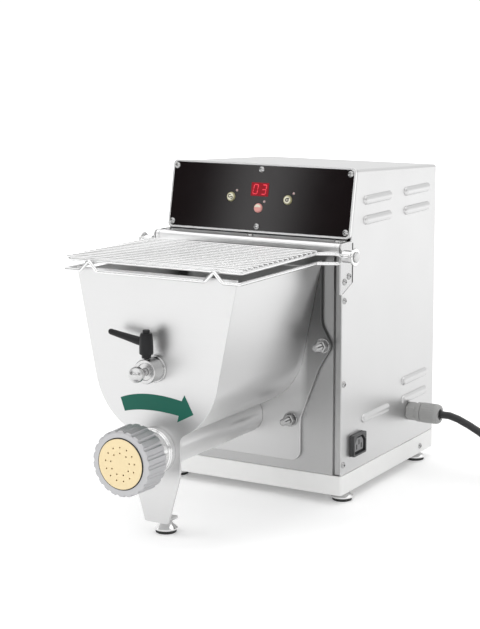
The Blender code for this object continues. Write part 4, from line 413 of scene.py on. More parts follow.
def repeated(name, pattern, matrices):
    """Copies of a pattern in one object, each at its own matrix, in place of the pattern."""
    copies = []
    for i, matrix in enumerate(matrices):
        copy = duplicate(pattern, f"{name}_{i}")
        copy.data.transform(matrix)
        copies.append(copy)
    bpy.data.objects.remove(pattern, do_unlink=True)
    gather(copies[0], *copies[1:])
    copies[0].name = name
    return copies[0]


def seat(centre, turn):
    """The matrix that lays a pattern made about the origin at a place."""
    x, y, z = turn
    spin = Matrix.Rotation(z, 4, "Z") @ Matrix.Rotation(y, 4, "Y") @ Matrix.Rotation(x, 4, "X")
    return Matrix.Translation(centre) @ spin


def cutter(radius, centre, turn, reach):
    """A round tool that cuts a hole, reaching as far on both sides of its place."""
    bpy.ops.object.select_all(action="DESELECT")
    bpy.ops.mesh.primitive_cylinder_add(vertices=48, radius=radius, depth=2 * reach)
    return lay(bpy.context.object, centre, turn)


def box_tool(low, high):
    """A block between two corners, to cut or to build on."""
    bpy.ops.object.select_all(action="DESELECT")
    bpy.ops.mesh.primitive_cube_add(size=1.0)
    bpy.ops.transform.resize(value=[abs(b - a) for a, b in zip(low, high)])
    return lay(bpy.context.object, [(a + b) / 2 for a, b in zip(low, high)], UPRIGHT)


def complete(piece, finish_name, node=None, body="machine", angle=35.0):
    """Shades a piece, gives it its finish and ties it to a body of the CAD model."""
    take(piece)
    bpy.ops.object.transform_apply(location=True, rotation=True, scale=True)
    bpy.ops.object.shade_smooth_by_angle(angle=math.radians(angle))
    weigh = piece.modifiers.new("flat_faces", "WEIGHTED_NORMAL")
    weigh.keep_sharp = True
    bpy.ops.object.modifier_apply(modifier=weigh.name)
    piece.data.materials.clear()
    piece.data.materials.append(FINISHES[finish_name])
    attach(piece, body)
    if node:
        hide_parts(node)
    return piece


def arc(radius, start, end, steps, centre=(0, 0)):
    return [(centre[0] + radius * math.cos(start + (end - start) * i / steps),
        centre[1] + radius * math.sin(start + (end - start) * i / steps)) for i in range(steps + 1)]


def rounded(corners, steps=8, closed=True):
    """An outline whose corners are rounded by their third value, where they have one."""
    outline = []
    count = len(corners)
    for i, corner in enumerate(corners):
        here = Vector(corner[:2])
        inner = closed or 0 < i < count - 1
        if len(corner) < 3 or not inner:
            outline.append(tuple(here))
            continue
        before = (Vector(corners[i - 1][:2]) - here).normalized()
        after = (Vector(corners[(i + 1) % count][:2]) - here).normalized()
        half = before.angle(after) / 2
        back = corner[2] / math.tan(half)
        first = here + before * back
        last = here + after * back
        centre = here + (before + after).normalized() * corner[2] / math.sin(half)
        start = math.atan2(first.y - centre.y, first.x - centre.x)
        sweep = math.atan2(last.y - centre.y, last.x - centre.x) - start
        sweep = (sweep + math.pi) % math.tau - math.pi
        outline += arc(corner[2], start, start + sweep, steps, tuple(centre))
    return outline


def mirrored(half):
    return half + [(-x, z) for x, z in half[::-1]]


def oblong(left, right, low, high, corner=None):
    """The corners of an oblong, rounded where a radius is given."""
    corners = [(left, low), (right, low), (right, high), (left, high)]
    return rounded([(x, y, corner) for x, y in corners]) if corner else corners


def near(radius, height, *steps):
    """Points of a profile, each some tenths of a millimetre away from one corner of a piece."""
    return [(radius + out / TENTHS, height + up / TENTHS) for out, up in steps]


def circle(line, count, *inside):
    """Matrices that lie in a circle about a line, each with these steps inside it."""
    seats = []
    for i in range(count):
        matrix = seat(*line) @ Matrix.Rotation(math.tau * i / count, 4, "Z")
        for step in inside:
            matrix = matrix @ step
        seats.append(matrix)
    return seats


def round_curve(name, path, radius):
    """A round line through these points, closed at both ends."""
    curve = bpy.data.curves.new(name, "CURVE")
    curve.dimensions = "3D"
    curve.bevel_depth = radius
    curve.bevel_resolution = 6
    curve.use_fill_caps = True
    line = curve.splines.new("POLY")
    line.points.add(len(path) - 1)
    for point, at in zip(line.points, path):
        point.co = (*at, 1.0)
    line.use_smooth = True
    piece = bpy.data.objects.new(name, curve)
    bpy.context.scene.collection.objects.link(piece)
    return piece


# Nodes of the finishes, of the floor and of the world

def add(tree, kind, values=None, output=0, **settings):
    """A node with these settings, its inputs set or linked; gives one of its outputs."""
    node = tree.nodes.new("ShaderNode" + kind)
    for setting, value in settings.items():
        setattr(node, setting, value)
    for label, value in (values or {}).items():
        if isinstance(value, bpy.types.NodeSocket):
            tree.links.new(value, node.inputs[label])
        else:
            node.inputs[label].default_value = value
    return node.outputs[output]


def work(tree, operation, *values):
    return add(tree, "Math", dict(enumerate(values)), operation=operation)


def ramp(tree, value, low, high, first, last):
    """A soft change from the first to the last level as the value goes from low to high."""
    return add(tree, "MapRange", {"Value": value, "From Min": low, "From Max": high, "To Min": first,
        "To Max": last}, interpolation_type="SMOOTHSTEP")


def noise(tree, at, scale, detail, roughness):
    return add(tree, "TexNoise", {"Vector": at, "Scale": scale, "Detail": detail, "Roughness": roughness})


def component(tree, at, axis):
    return add(tree, "SeparateXYZ", {"Vector": at}, axis)


def scaled(tree, tone, level):
    return add(tree, "VectorMath", {0: tone, "Scale": level}, operation="SCALE")


def brushed(tree, given, at):
    """Fine brushing lines with faint smudges; the Stretch scales set the way of the lines."""
    stretched = add(tree, "VectorMath", {0: at, 1: given["Stretch"]}, operation="MULTIPLY")
    lines = noise(tree, stretched, 1.0, 5.0, 0.65)
    smudges = noise(tree, at, 17.0, 3.0, 0.55)
    both = work(tree, "MULTIPLY_ADD", smudges, 0.4, work(tree, "MULTIPLY", lines, 0.6))
    return both, smudges, lines


def moulded(tree, given, at):
    """The fine grain of moulded plastic, rubber and paint."""
    cloud = noise(tree, at, 60.0, 3.0, 0.6)
    return cloud, cloud, noise(tree, at, given["Grain"], 2.0, 0.5)


def cast(tree, given, at):
    """The blotchy, slightly pitted skin of a casting or of bronze."""
    pits = noise(tree, at, given["Grain"], 4.0, 0.7)
    blotch = noise(tree, at, 110.0, 4.0, 0.6)
    both = work(tree, "MULTIPLY_ADD", pits, 0.5, work(tree, "MULTIPLY", blotch, 0.5))
    return both, blotch, both


def turning(tree, given, at):
    """The rings that a lathe leaves about an axis through Centre; Across blanks the axis."""
    shift = add(tree, "VectorMath", {0: at, 1: given["Centre"]}, operation="SUBTRACT")
    flat = add(tree, "VectorMath", {0: shift, 1: given["Across"]}, operation="MULTIPLY")
    reach = add(tree, "VectorMath", {0: flat}, "Value", operation="LENGTH")
    marks = add(tree, "TexNoise", {"W": reach, "Scale": 2600.0, "Detail": 3.0}, noise_dimensions="1D")
    return marks, marks, marks


def hopper_shade(tree, given, at):
    """A level that falls with height, down to Top at the sides, where the hopper shades a sheet."""
    off_middle = work(tree, "ABSOLUTE", component(tree, at, "X"))
    aside = add(tree, "MapRange", {"Value": off_middle, "From Min": 0.07, "From Max": 0.08})
    top = work(tree, "MULTIPLY_ADD", work(tree, "SUBTRACT", given["Top"], 1.0), aside, 1.0)
    return ramp(tree, component(tree, at, "Z"), 0.05, 0.23, 1.0, top)


SOCKETS = {"Tone": "Color", "Color": "Color", "Stretch": "Vector", "Centre": "Vector", "Across": "Vector"}


def surface(name, pattern, inputs, shade=None):
    """A node group that gives colour, roughness and height.

    The pattern gives what lightens and darkens the tone, what varies the polish, and the height.
    """
    group = bpy.data.node_groups.new(name, "ShaderNodeTree")
    for way, labels in (("INPUT", ("Tone", "Spread", "Polish", "Smudge") + inputs),
            ("OUTPUT", ("Color", "Roughness", "Height"))):
        for label in labels:
            group.interface.new_socket(name=label, in_out=way,
                socket_type="NodeSocket" + SOCKETS.get(label, "Float"))
    given = group.nodes.new("NodeGroupInput").outputs
    result = group.nodes.new("NodeGroupOutput").inputs
    at = add(group, "TexCoord", output="Object")
    tone = scaled(group, given["Tone"], shade(group, given, at)) if shade else given["Tone"]
    lightness, dullness, height = pattern(group, given, at)

    def swing(factor, reach, middle):
        return work(group, "MULTIPLY_ADD", work(group, "SUBTRACT", factor, 0.5), reach, middle)

    group.links.new(scaled(group, tone, swing(lightness, given["Spread"], 1.0)), result["Color"])
    group.links.new(swing(dullness, given["Smudge"], given["Polish"]), result["Roughness"])
    group.links.new(height, result["Height"])
    return group


BRUSHED = surface("brushed_sheet", brushed, ("Stretch",))
SHADED = surface("falling_sheet", brushed, ("Stretch", "Top"), hopper_shade)
MOULDED = surface("moulded_grain", moulded, ("Grain",))
CAST = surface("cast_skin", cast, ("Grain",))
TURNED = surface("turning_marks", turning, ("Centre", "Across"))
RELIEF_DEPTH = 0.0004
FINISHES = {}
NODE_FINISHES = {}


def finish(name, nodes, group, values, metallic=0, depth=0.05, coat=0, specular=0.5):
    """A material whose colour, gloss and relief come from a node group with these values.

    It is also what these CAD nodes wear where they keep their own shape.
    """
    material = bpy.data.materials.new(name)
    material.use_nodes = True
    tree = material.node_tree
    shader = tree.nodes["Principled BSDF"].inputs
    pattern = tree.nodes.new("ShaderNodeGroup")
    pattern.node_tree = group
    for label, value in values.items():
        if label == "Tone":
            value = (*value, 1.0) if isinstance(value, tuple) else (value, value, value, 1.0)
        pattern.inputs[label].default_value = value
    relief = add(tree, "Bump", {"Strength": depth, "Distance": RELIEF_DEPTH,
        "Height": pattern.outputs["Height"]})
    tree.links.new(pattern.outputs["Color"], shader["Base Color"])
    tree.links.new(pattern.outputs["Roughness"], shader["Roughness"])
    tree.links.new(relief, shader["Normal"])
    shader["Metallic"].default_value = metallic
    shader["Coat Weight"].default_value = coat
    shader["Specular IOR Level"].default_value = specular
    FINISHES[name] = material
    for node in nodes.split():
        NODE_FINISHES[node] = material
    return material


def steel(name, tone, polish, stretch, nodes="", spread=0.05, smudge=0.1, depth=0.03):
    finish(name, nodes, BRUSHED, {"Tone": tone, "Spread": spread, "Stretch": stretch, "Polish": polish,
        "Smudge": smudge}, 1.0, depth)


def shaded_steel(name, tone, polish, top, nodes):
    finish(name, nodes, SHADED, {"Tone": tone, "Spread": 0.05, "Stretch": ALONG_Z, "Polish": polish,
        "Smudge": 0.1, "Top": top}, 1.0, 0.03)


def lathed(name, tone, polish, line, nodes):
    finish(name, nodes, TURNED, {"Tone": tone, "Spread": 0.1, "Centre": tuple(line[0]),
        "Across": (1.0, 0, 1.0), "Polish": polish, "Smudge": 0.1}, 1.0, 0.04)


def casting(name, tone, polish, grain, nodes, spread, smudge, metallic, depth):
    finish(name, nodes, CAST, {"Tone": tone, "Spread": spread, "Grain": grain, "Polish": polish,
        "Smudge": smudge}, metallic, depth)


def plastic(name, tone, polish, nodes="", grain=1800.0, spread=0.25, depth=0.08, **more):
    return finish(name, nodes, MOULDED, {"Tone": tone, "Spread": spread, "Grain": grain, "Polish": polish,
        "Smudge": polish * 0.4}, depth=depth, **more)


def glowing(name, tone, light, strength, nodes=""):
    """A lit plastic: its colour glows with a soft unevenness."""
    tree = plastic(name, tone, 0.3, nodes, specular=0.2).node_tree
    shader = tree.nodes["Principled BSDF"].inputs
    pattern = next(node for node in tree.nodes if node.type == "GROUP")
    tint = tree.nodes.new("ShaderNodeMix")
    tint.data_type = "RGBA"
    tint.blend_type = "MULTIPLY"
    tint.inputs["Factor"].default_value = 0.25
    tint.inputs["A"].default_value = (*light, 1.0)
    tree.links.new(pattern.outputs["Roughness"], tint.inputs["B"])
    tree.links.new(tint.outputs["Result"], shader["Emission Color"])
    shader["Emission Strength"].default_value = strength


# Each finish: its name, tone, polish and pattern, and the CAD nodes that wear it

ALONG_X = (14.0, 900.0, 900.0)
ALONG_Y = (900.0, 14.0, 900.0)
ALONG_Z = (900.0, 900.0, 14.0)
EVEN = (250.0, 250.0, 250.0)

steel("casing_steel", 0.62, 0.38, ALONG_Z, "casing rear_panel lid_bracket_left lid_bracket_right",
    spread=0.04)
steel("hopper_steel", 0.67, 0.4, ALONG_X, "hopper_front_plate", smudge=0.05)
steel("trough_steel", 0.7, 0.31, ALONG_Y, "hopper_trough", smudge=0.05)
steel("bracket_steel", 0.52, 0.26, ALONG_Z)
steel("hood_steel", 0.88, 0.36, ALONG_X, "trim_hood")
steel("fascia_steel", 0.7, 0.3, ALONG_X, "control_fascia")
steel("screw_steel", 0.44, 0.2, (300.0, 300.0, 300.0), spread=0.08)
steel("bright_chrome", 0.82, 0.09, (200.0, 200.0, 200.0),
      "nut_high_left nut_high_right nut_low_left nut_low_right plug_pins foot_back_left"
      " foot_back_right foot_front_left foot_front_right foot_leg", spread=0.04, smudge=0.06, depth=0.01)
steel("lid_wire_steel", 0.76, 0.18, EVEN, "wire_lid lid_lower_rod")
steel("nut_steel", 0.36, 0.16, EVEN, spread=0.06)
steel("gear_plate_steel", (0.44, 0.44, 0.45), 0.38, ALONG_Z, "gear_plate bearing_plate", spread=0.08)
shaded_steel("rear_plate_steel", 0.56, 0.36, 0.14, "hopper_rear_plate")
shaded_steel("front_panel_steel", 0.46, 0.34, 0.6, "front_panel")
lathed("auger_steel", 0.74, 0.24, AUGER_LINE, "auger auger_drive_shaft")
lathed("paddle_steel", 0.76, 0.22, MIXER_LINE, "mixing_paddle mixer_drive_shaft")
lathed("boss_steel", 0.56, 0.26, MIXER_LINE, "mixer_boss pull_pin")
lathed("gear_steel", (0.42, 0.42, 0.43), 0.36, MIXER_LINE, "auger_gear mixer_gear drive_pinion")
casting("cast_aluminium", (0.49, 0.49, 0.5), 0.4, 900.0, "gearbox nozzle ring_nut", spread=0.16,
    smudge=0.12, metallic=1.0, depth=0.22)
casting("die_bronze", (0.84, 0.7, 0.44), 0.5, 1500.0, "die", spread=0.12, smudge=0.1, metallic=0.55,
    depth=0.15)
plastic("tray_paint", (0.93, 0.93, 0.92), 0.34, "base_tray", grain=900.0, spread=0.03, depth=0.03)
plastic("black_plastic", (0.014, 0.014, 0.015), 0.36, "clamp_lever lid_switch mains_plug", specular=0.2)
plastic("black_rubber", 0.022, 0.62, "auger_seal mixer_seal pad_back_left pad_back_right"
        " pad_front_left pad_front_right pad_leg", grain=2600.0)
plastic("cord_rubber", (0.018, 0.018, 0.019), 0.46, "mains_cord cord_coil", grain=2600.0)
plastic("gland_plastic", (0.38, 0.38, 0.375), 0.44, "cable_gland", spread=0.1)
plastic("insert_plastic", (0.22, 0.22, 0.225), 0.45, "outlet_insert", spread=0.15)
plastic("socket_plastic", (0.04, 0.04, 0.042), 0.4, "outlet_socket")
plastic("cream_plastic", (0.82, 0.79, 0.64), 0.36, "button_left button_right", spread=0.1)
plastic("khaki_plastic", (0.4, 0.37, 0.2), 0.36, spread=0.1)
plastic("rose_plastic", (0.8, 0.36, 0.33), 0.34, "button_centre", spread=0.15)
plastic("lamp_rose", (0.62, 0.4, 0.42), 0.3, spread=0.1, coat=0.3)
plastic("motor_paint", (0.16, 0.17, 0.18), 0.5, "motor")
plastic("board_green", (0.04, 0.22, 0.1), 0.45, "control_board")
plastic("overlay_film", (0.0035, 0.0012, 0.0016), 0.07, "control_overlay", grain=1200.0, depth=0.004,
    specular=0.2)
plastic("arrow_print", (0.012, 0.125, 0.088), 0.5, grain=900.0, spread=0.08, depth=0.02, specular=0.25)
plastic("symbol_print", (0.02, 0.018, 0.012), 0.5)
glowing("window_red", (0.16, 0.004, 0.01), (0.3, 0.003, 0.01), 0.6, "display_window")
glowing("digit_red", (0.6, 0.04, 0.06), (0.95, 0.09, 0.12), 0.85)


def finish_nodes():
    """CAD nodes that keep their own shape wear the finish of their material."""
    for node, material in NODE_FINISHES.items():
        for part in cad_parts[node].material_slots:
            part.material = material


# Body: casing, tray, hood and brackets

def roof(y):
    """The height of the roof, which falls towards the back."""
    return BODY_HEIGHT - TOP_FALL * y / BODY_DEPTH


def fascia_back(z):
    """The Y of the slanted edge behind the control panel, at a height."""
    along = (z - PANEL_FOOT_Z + FASCIA_THICK * math.sin(PANEL_LEAN)) / math.cos(PANEL_LEAN)
    return (PANEL_FOOT_Y + (FASCIA_THICK * math.cos(PANEL_LEAN) + GAP / math.cos(PANEL_LEAN)) + along
        * math.sin(PANEL_LEAN))


def louvre(name, shrink):
    """A pill with round ends, lying along the side of the casing about the origin."""
    radius = LOUVRE_HEIGHT / 2 - shrink
    half = LOUVRE_LENGTH / 2 - LOUVRE_HEIGHT / 2
    profile = arc(radius, math.pi / 2, 0, 8, (0, half))
    profile += arc(radius, 0, -math.pi / 2, 8, (0, -half))
    profile[0] = (0, half + radius)
    profile[-1] = (0, -half - radius)
    piece = turned(name, profile, turn=TO_FRONT, steps=40)
    bulge = (LOUVRE_BULGE + SHEET / 2 - shrink) / radius
    bpy.ops.transform.resize(value=(bulge, 1.0, 1.0))
    return lay(piece, ORIGIN, UPRIGHT)


def louvre_seats(drop):
    return [Matrix.Translation(place(side * (HALF_WIDTH - SHEET / 2), y + LOUVRE_LENGTH / 2,
        z + LOUVRE_HEIGHT / 2 - drop)) for side in (-1, 1) for y, z in LOUVRES]


def casing():
    """The bent cover: two sides and a roof with round long edges, and pressed louvres."""
    low = TRAY_TOP + GAP
    ledge = HOOD_TOP - SHEET - GAP
    front = fascia_back(BODY_HEIGHT)
    outline = [(CASING_FRONT, low), (BODY_DEPTH, low), (BODY_DEPTH, roof(BODY_DEPTH)), (front, roof(front)),
        (fascia_back(ledge), ledge), (CASING_FRONT, ledge)]
    piece = plate("casing_pressed", outline, 2 * HALF_WIDTH, *SIDEWAYS)
    hollow = [(-BODY_DEPTH, -BODY_HEIGHT), (2 * BODY_DEPTH, -BODY_HEIGHT),
        (2 * BODY_DEPTH, roof(2 * BODY_DEPTH) - SHEET), (-BODY_DEPTH, roof(-BODY_DEPTH) - SHEET)]
    room = plate("casing_room", hollow, 2 * (HALF_WIDTH - SHEET), *SIDEWAYS)
    for block, radius in ((piece, TOP_EDGE_RADIUS), (room, TOP_EDGE_RADIUS - SHEET)):
        take(block)
        bpy.ops.object.mode_set(mode="EDIT")
        bpy.ops.mesh.select_mode(type="EDGE")
        bpy.ops.mesh.select_all(action="DESELECT")
        bpy.ops.object.mode_set(mode="OBJECT")
        points = block.data.vertices
        for edge in block.data.edges:
            first, last = (points[i].co for i in edge.vertices)
            high = min(first.z, last.z) > HOOD_TOP + PANEL_HEIGHT / 2
            edge.select = high and abs(first.x - last.x) < GAP
        bpy.ops.object.mode_set(mode="EDIT")
        bpy.ops.mesh.bevel(offset=radius, segments=8, affect="EDGES")
        bpy.ops.mesh.select_mode(type="VERT")
        bpy.ops.object.mode_set(mode="OBJECT")
    trim = duplicate(room, "casing_trim")
    carve(piece, room)
    fuse(piece, repeated("louvre_hoods", louvre("louvre_hood", 0), louvre_seats(0)))
    carve(piece, trim, repeated("louvre_hollows", louvre("louvre_hollow", LOUVRE_SKIN),
        louvre_seats(LOUVRE_DROP)), box_tool(place(HALF_WIDTH - 2 * SHEET, OUTLET_FRONT - GAP,
        OUTLET_LOW - GAP), place(HALF_WIDTH + SHEET, OUTLET_FRONT + OUTLET_WIDTH + GAP,
        OUTLET_LOW + OUTLET_HEIGHT + GAP)), cutter(GLAND_HOLE, place(HALF_WIDTH, GLAND_Y, GLAND_Z),
        TO_RIGHT, 2 * SHEET))
    complete(piece, "casing_steel", "casing", angle=28.0)


def base_tray():
    """The folded tray with round corners, with a weld nut over each foot."""
    middle = place(0, 0, (TRAY_BOTTOM + TRAY_TOP) / 2)

    def outline(inset):
        side = HALF_WIDTH + TRAY_PROUD - inset
        return oblong(-side, side, inset - TRAY_PROUD, BODY_DEPTH + TRAY_PROUD - inset,
            TRAY_CORNER - inset * 0.9)

    tray = plate("tray_folded", outline(0), TRAY_TOP - TRAY_BOTTOM, middle, UPRIGHT, 0.0008)
    carve(tray, plate("tray_room", outline(TRAY_WALL), TRAY_TOP - TRAY_BOTTOM,
        middle + Vector((0, 0, TRAY_WALL))))
    for x, y in FOOT_PLACES.values():
        floor_at = place(x, y, TRAY_BOTTOM + TRAY_WALL)
        fuse(tray, turned("weld_nut", near(0, 0, (0, 40), (52, 40), (58, 34), (58, -10), (0, -10)),
            floor_at, steps=6))
        carve(tray, cutter(FOOT_HOLE, floor_at, UPRIGHT, 0.007))
    complete(tray, "tray_paint", "base_tray")


def sheet_section(path):
    """A closed outline of a bent sheet: the path, and the same path set off to its left."""
    offset = []
    for i, point in enumerate(path):
        here = Vector(point)
        ways = [(Vector(b) - Vector(a)).normalized()
            for a, b in zip(path[max(i - 1, 0):i + 1], path[max(i - 1, 0) + 1:i + 2])]
        normals = [Vector((-way.y, way.x)) for way in ways]
        normal = sum(normals, Vector((0, 0))).normalized()
        offset.append(tuple(here + normal * (SHEET / normal.dot(normals[0]))))
    return list(path) + offset[::-1]


def trim_hood():
    """The bright hood with its rolled nose and the shelf that runs back under the panel."""
    path = rounded([(HOOD_BACK, HOOD_TOP), (-HOOD_REACH, HOOD_TOP, HOOD_NOSE),
        (-HOOD_REACH, HOOD_TOP - HOOD_DROP, 2 * SHEET), (-GAP, HOOD_TOP - HOOD_DROP)], steps=10,
        closed=False)
    piece = plate("hood_bent", sheet_section(path), 2 * HOOD_HALF, *SIDEWAYS)
    round_edges(piece, 0.0003, limit=60.0)
    complete(piece, "hood_steel", "trim_hood", angle=30.0)
    section = rounded([(-GAP, HOOD_TOP - HOOD_DROP), (-HOOD_REACH, HOOD_TOP - HOOD_DROP, 2 * SHEET),
        (-HOOD_REACH, HOOD_TOP, HOOD_NOSE), (-GAP, HOOD_TOP)], steps=10)
    width = BRACKET_FACE - BRACKET_THICK - HOOD_HALF - 3 * GAP
    for name, side, _ in SIDES:
        end = plate("hood_end_" + name, section, width, place(side * (HOOD_HALF + GAP + width / 2), 0, 0),
            SIDE_VIEW)
        complete(end, "hood_steel", angle=30.0)


def panel_outline(inset, corner):
    return oblong(inset - HALF_WIDTH, HALF_WIDTH - inset, inset, PANEL_HEIGHT - inset, corner)


def panel_holes(reach, margin):
    """Tools for the holes that fascia and overlay have at the display, the keys and the lamps."""
    wide = DISPLAY_WIDTH / 2 + margin
    high = DISPLAY_HEIGHT / 2 + margin
    tools = [plate("window_tool", oblong(-wide, wide, DISPLAY_UP - high, DISPLAY_UP + high), 2 * reach,
        on_panel(0, 0), PANEL_TURN)]
    for x, up in KEY_PLACES.values():
        tools.append(cutter(KEY_RADIUS + GAP, on_panel(x, up), PANEL_TURN, reach))
        tools.append(cutter(LAMP_RADIUS, on_panel(x + LAMP_ASIDE, up + LAMP_ABOVE), PANEL_TURN, reach))
    return tools


def control_fascia():
    """The frame of the control panel: a plate with a shallow bed for the overlay."""
    piece = plate("fascia_frame", panel_outline(0, FASCIA_CORNER), FASCIA_THICK,
        on_panel(0, 0, -FASCIA_THICK / 2), PANEL_TURN)
    bed = plate("fascia_bed", panel_outline(OVERLAY_MARGIN - GAP, OVERLAY_CORNER), 0.0026, on_panel(0, 0),
        PANEL_TURN)
    carve(piece, bed, *panel_holes(0.006, GAP))
    round_edges(piece, 0.0005, segments=3, limit=50.0)
    complete(piece, "fascia_steel", "control_fascia")


def control_overlay():
    """The glossy black overlay with its windows for display, keys and lamps."""
    piece = plate("overlay_film", panel_outline(OVERLAY_MARGIN, OVERLAY_CORNER), OVERLAY_THICK,
        on_panel(0, 0, -OVERLAY_THICK / 2), PANEL_TURN)
    carve(piece, *panel_holes(2 * OVERLAY_THICK, 0))
    complete(piece, "overlay_film", "control_overlay")


def lid_brackets():
    """The side plates with their pivot pins, each on a thin black strip that reaches past its back and
    lower edges as painted shadow of the gap behind it.
    """
    front = -BRACKET_FRONT
    outline = rounded([(front, BRACKET_LOW, SHEET), (BRACKET_BACK, BRACKET_LOW + BRACKET_RISE, SHEET),
        (BRACKET_BACK, HOOD_TOP), (front + HOOD_NOSE / 2, HOOD_TOP, HOOD_NOSE / 2),
        (front, HOOD_TOP - HOOD_NOSE, HOOD_NOSE / 2)])
    start_y = CASING_FRONT + GAP
    slope = BRACKET_RISE / (BRACKET_BACK + BRACKET_FRONT)
    low = BRACKET_LOW + (start_y + BRACKET_FRONT) * slope - SHADOW_STRIP_LOW
    rim = [(start_y, low), (BRACKET_BACK + SHADOW_STRIP_BACK, BRACKET_LOW + BRACKET_RISE),
        (BRACKET_BACK + SHADOW_STRIP_BACK, HOOD_TOP - 2 * SHEET), (start_y, HOOD_TOP - 2 * SHEET)]

    start = BRACKET_FACE - BRACKET_THICK
    head = HUB_START + HUB_LENGTH + GAP
    for name, side, turn in SIDES:
        piece = plate("bracket_cut_" + name, outline, BRACKET_THICK,
            place(side * (start + BRACKET_THICK / 2), 0, 0), SIDE_VIEW, 0.0003)
        pin = turned("pivot_pin", [*near(0, head, (0, 20), (46, 20), (56, 16), (60, 9), (60, 0), (40, 0)),
            (0.004, start + BRACKET_THICK / 2), (0, start + BRACKET_THICK / 2)],
            place(0, -PIVOT_Y, PIVOT_Z), turn, steps=48)
        fuse(piece, pin)
        complete(piece, "bracket_steel", "lid_bracket_" + name)
        # A thin black sheet under the bracket, wider than it, is painted shadow of the gap against the
        # casing.
        shadow_strip = plate("bracket_shadow_strip_" + name, rim, 0.0004, place(side * (start - 0.00025), 0, 0),
            SIDE_VIEW)
        complete(shadow_strip, "black_rubber")


# Hopper

def flare_tangent():
    """The angle at which the straight side of the hopper meets its round bottom."""
    rise = PLATE_TOP - MIXER_Z
    reach = math.hypot(PLATE_TOP_HALF, rise)
    return math.atan2(rise, PLATE_TOP_HALF) - math.acos(PLATE_ARC / reach)


def hopper_edge():
    """The right half of the front plate with its leg, from the top down, as (x, z)."""
    fillet_x = LEG_HALF + LEG_FILLET
    fillet_drop = math.sqrt((PLATE_ARC + LEG_FILLET) ** 2 - fillet_x ** 2)
    end = math.atan2(-fillet_drop, fillet_x)
    edge = [(PLATE_TOP_HALF, PLATE_TOP)]
    edge += arc(PLATE_ARC, flare_tangent(), end, 40, (0, MIXER_Z))
    centre = (fillet_x, MIXER_Z - fillet_drop)
    edge += arc(LEG_FILLET, math.pi + end, math.pi, 8, centre)[1:]
    leg = rounded([edge[-1], (LEG_HALF, LEG_BEND_Z, LEG_BEND_RADIUS),
        (LEG_FOOT_HALF, LEG_BOTTOM, LEG_CORNER), (0, LEG_BOTTOM)], closed=False)
    return edge + leg[1:-1]


def hopper_front():
    """The polished front plate that runs down into the leg, with the turned-back foot flange."""
    middle = place(0, -PLATE_FRONT + PLATE_THICK / 2, 0)
    piece = plate("front_plate_polished", mirrored(hopper_edge()), PLATE_THICK, middle, TO_FRONT)
    half = LEG_FOOT_HALF - LEG_CORNER
    flange = box_tool(place(-half, -PLATE_FRONT + PLATE_THICK / 2, LEG_BOTTOM),
        place(half, -FLANGE_BACK, LEG_BOTTOM + PLATE_THICK))
    fuse(piece, flange)
    carve(piece, cutter(TUBE_BORE, place(0, -PLATE_FRONT, AUGER_Z), TO_FRONT, 0.01),
        cutter(PIN_RADIUS + GAP, place(0, -PLATE_FRONT, MIXER_Z), TO_FRONT, 0.01),
        cutter(STUD_RADIUS + GAP, place(0, -LEG_FOOT, LEG_BOTTOM), UPRIGHT, 0.01))
    round_edges(piece, 0.0004, limit=50.0)
    complete(piece, "hopper_steel", "hopper_front_plate")


def meeting(radius, other):
    """Where a circle about the mixer's axis meets one about the auger's, on the right."""
    drop = (radius ** 2 - other ** 2 + AXIS_SPACING ** 2) / (2 * AXIS_SPACING)
    aside = math.sqrt(radius ** 2 - drop ** 2)
    return math.atan2(-drop, aside), math.atan2(AXIS_SPACING - drop, aside)


def hopper_trough():
    """The two flared sheets and the auger tube, as one section pulled from plate to plate."""
    slope = flare_tangent()
    sections = []
    for radius, tube in ((PLATE_ARC - TROUGH_INSET, TUBE_RADIUS),
            (PLATE_ARC - TROUGH_INSET - TROUGH_SHEET, TUBE_BORE)):
        start = (radius * math.cos(slope), MIXER_Z + radius * math.sin(slope))
        on_mixer, on_tube = meeting(radius, tube)
        side = [(start[0] - (TROUGH_TOP - start[1]) * math.tan(slope), TROUGH_TOP)]
        side += arc(radius, slope, on_mixer, 44, (0, MIXER_Z))
        side += arc(tube, on_tube, -math.pi / 2, 24, (0, AUGER_Z))[1:]
        sections.append(side)
    outer, inner = sections
    outline = outer + [(-x, z) for x, z in outer[-2::-1]]
    outline += [(-x, z) for x, z in inner] + inner[-2::-1]
    front = PLATE_FRONT - PLATE_THICK - GAP
    back = 2 * GAP + REAR_THICK
    piece = plate("trough_polished", outline, front - back, place(0, -(front + back) / 2, 0), TO_FRONT)
    round_edges(piece, 0.0003, limit=60.0)
    complete(piece, "trough_steel", "hopper_trough", angle=30.0)


def hopper_rear():
    """The satin plate behind the hopper, with ears at its four fixings."""
    half = [(0.0962, 0.271), (0.0962, 0.207, 0.025), (0.11, 0.183, 0.01), (0.0937, 0.156, 0.025),
        (0.0705, 0.096, 0.025), (0.0705, 0.046, 0.012), (0, 0.046)]
    edge = rounded(half, closed=False)[:-1]
    piece = plate("rear_plate_satin", mirrored(edge), REAR_THICK, place(0, -GAP - REAR_THICK / 2, 0),
        TO_FRONT)
    carve(piece, cutter(SEAL_HOLE, *MIXER_LINE, 0.02), cutter(SEAL_HOLE, *AUGER_LINE, 0.02))
    round_edges(piece, 0.0008, segments=3, limit=50.0)
    complete(piece, "rear_plate_steel", "hopper_rear_plate")


def threaded(radius, low, high, pitch):
    """The side of a thread as a profile from the top down."""
    profile = []
    turns = int((high - low) / pitch)
    for i in range(turns):
        z = high - i * pitch
        profile += [(radius * 0.88, z), (radius, z - pitch / 2)]
    return profile


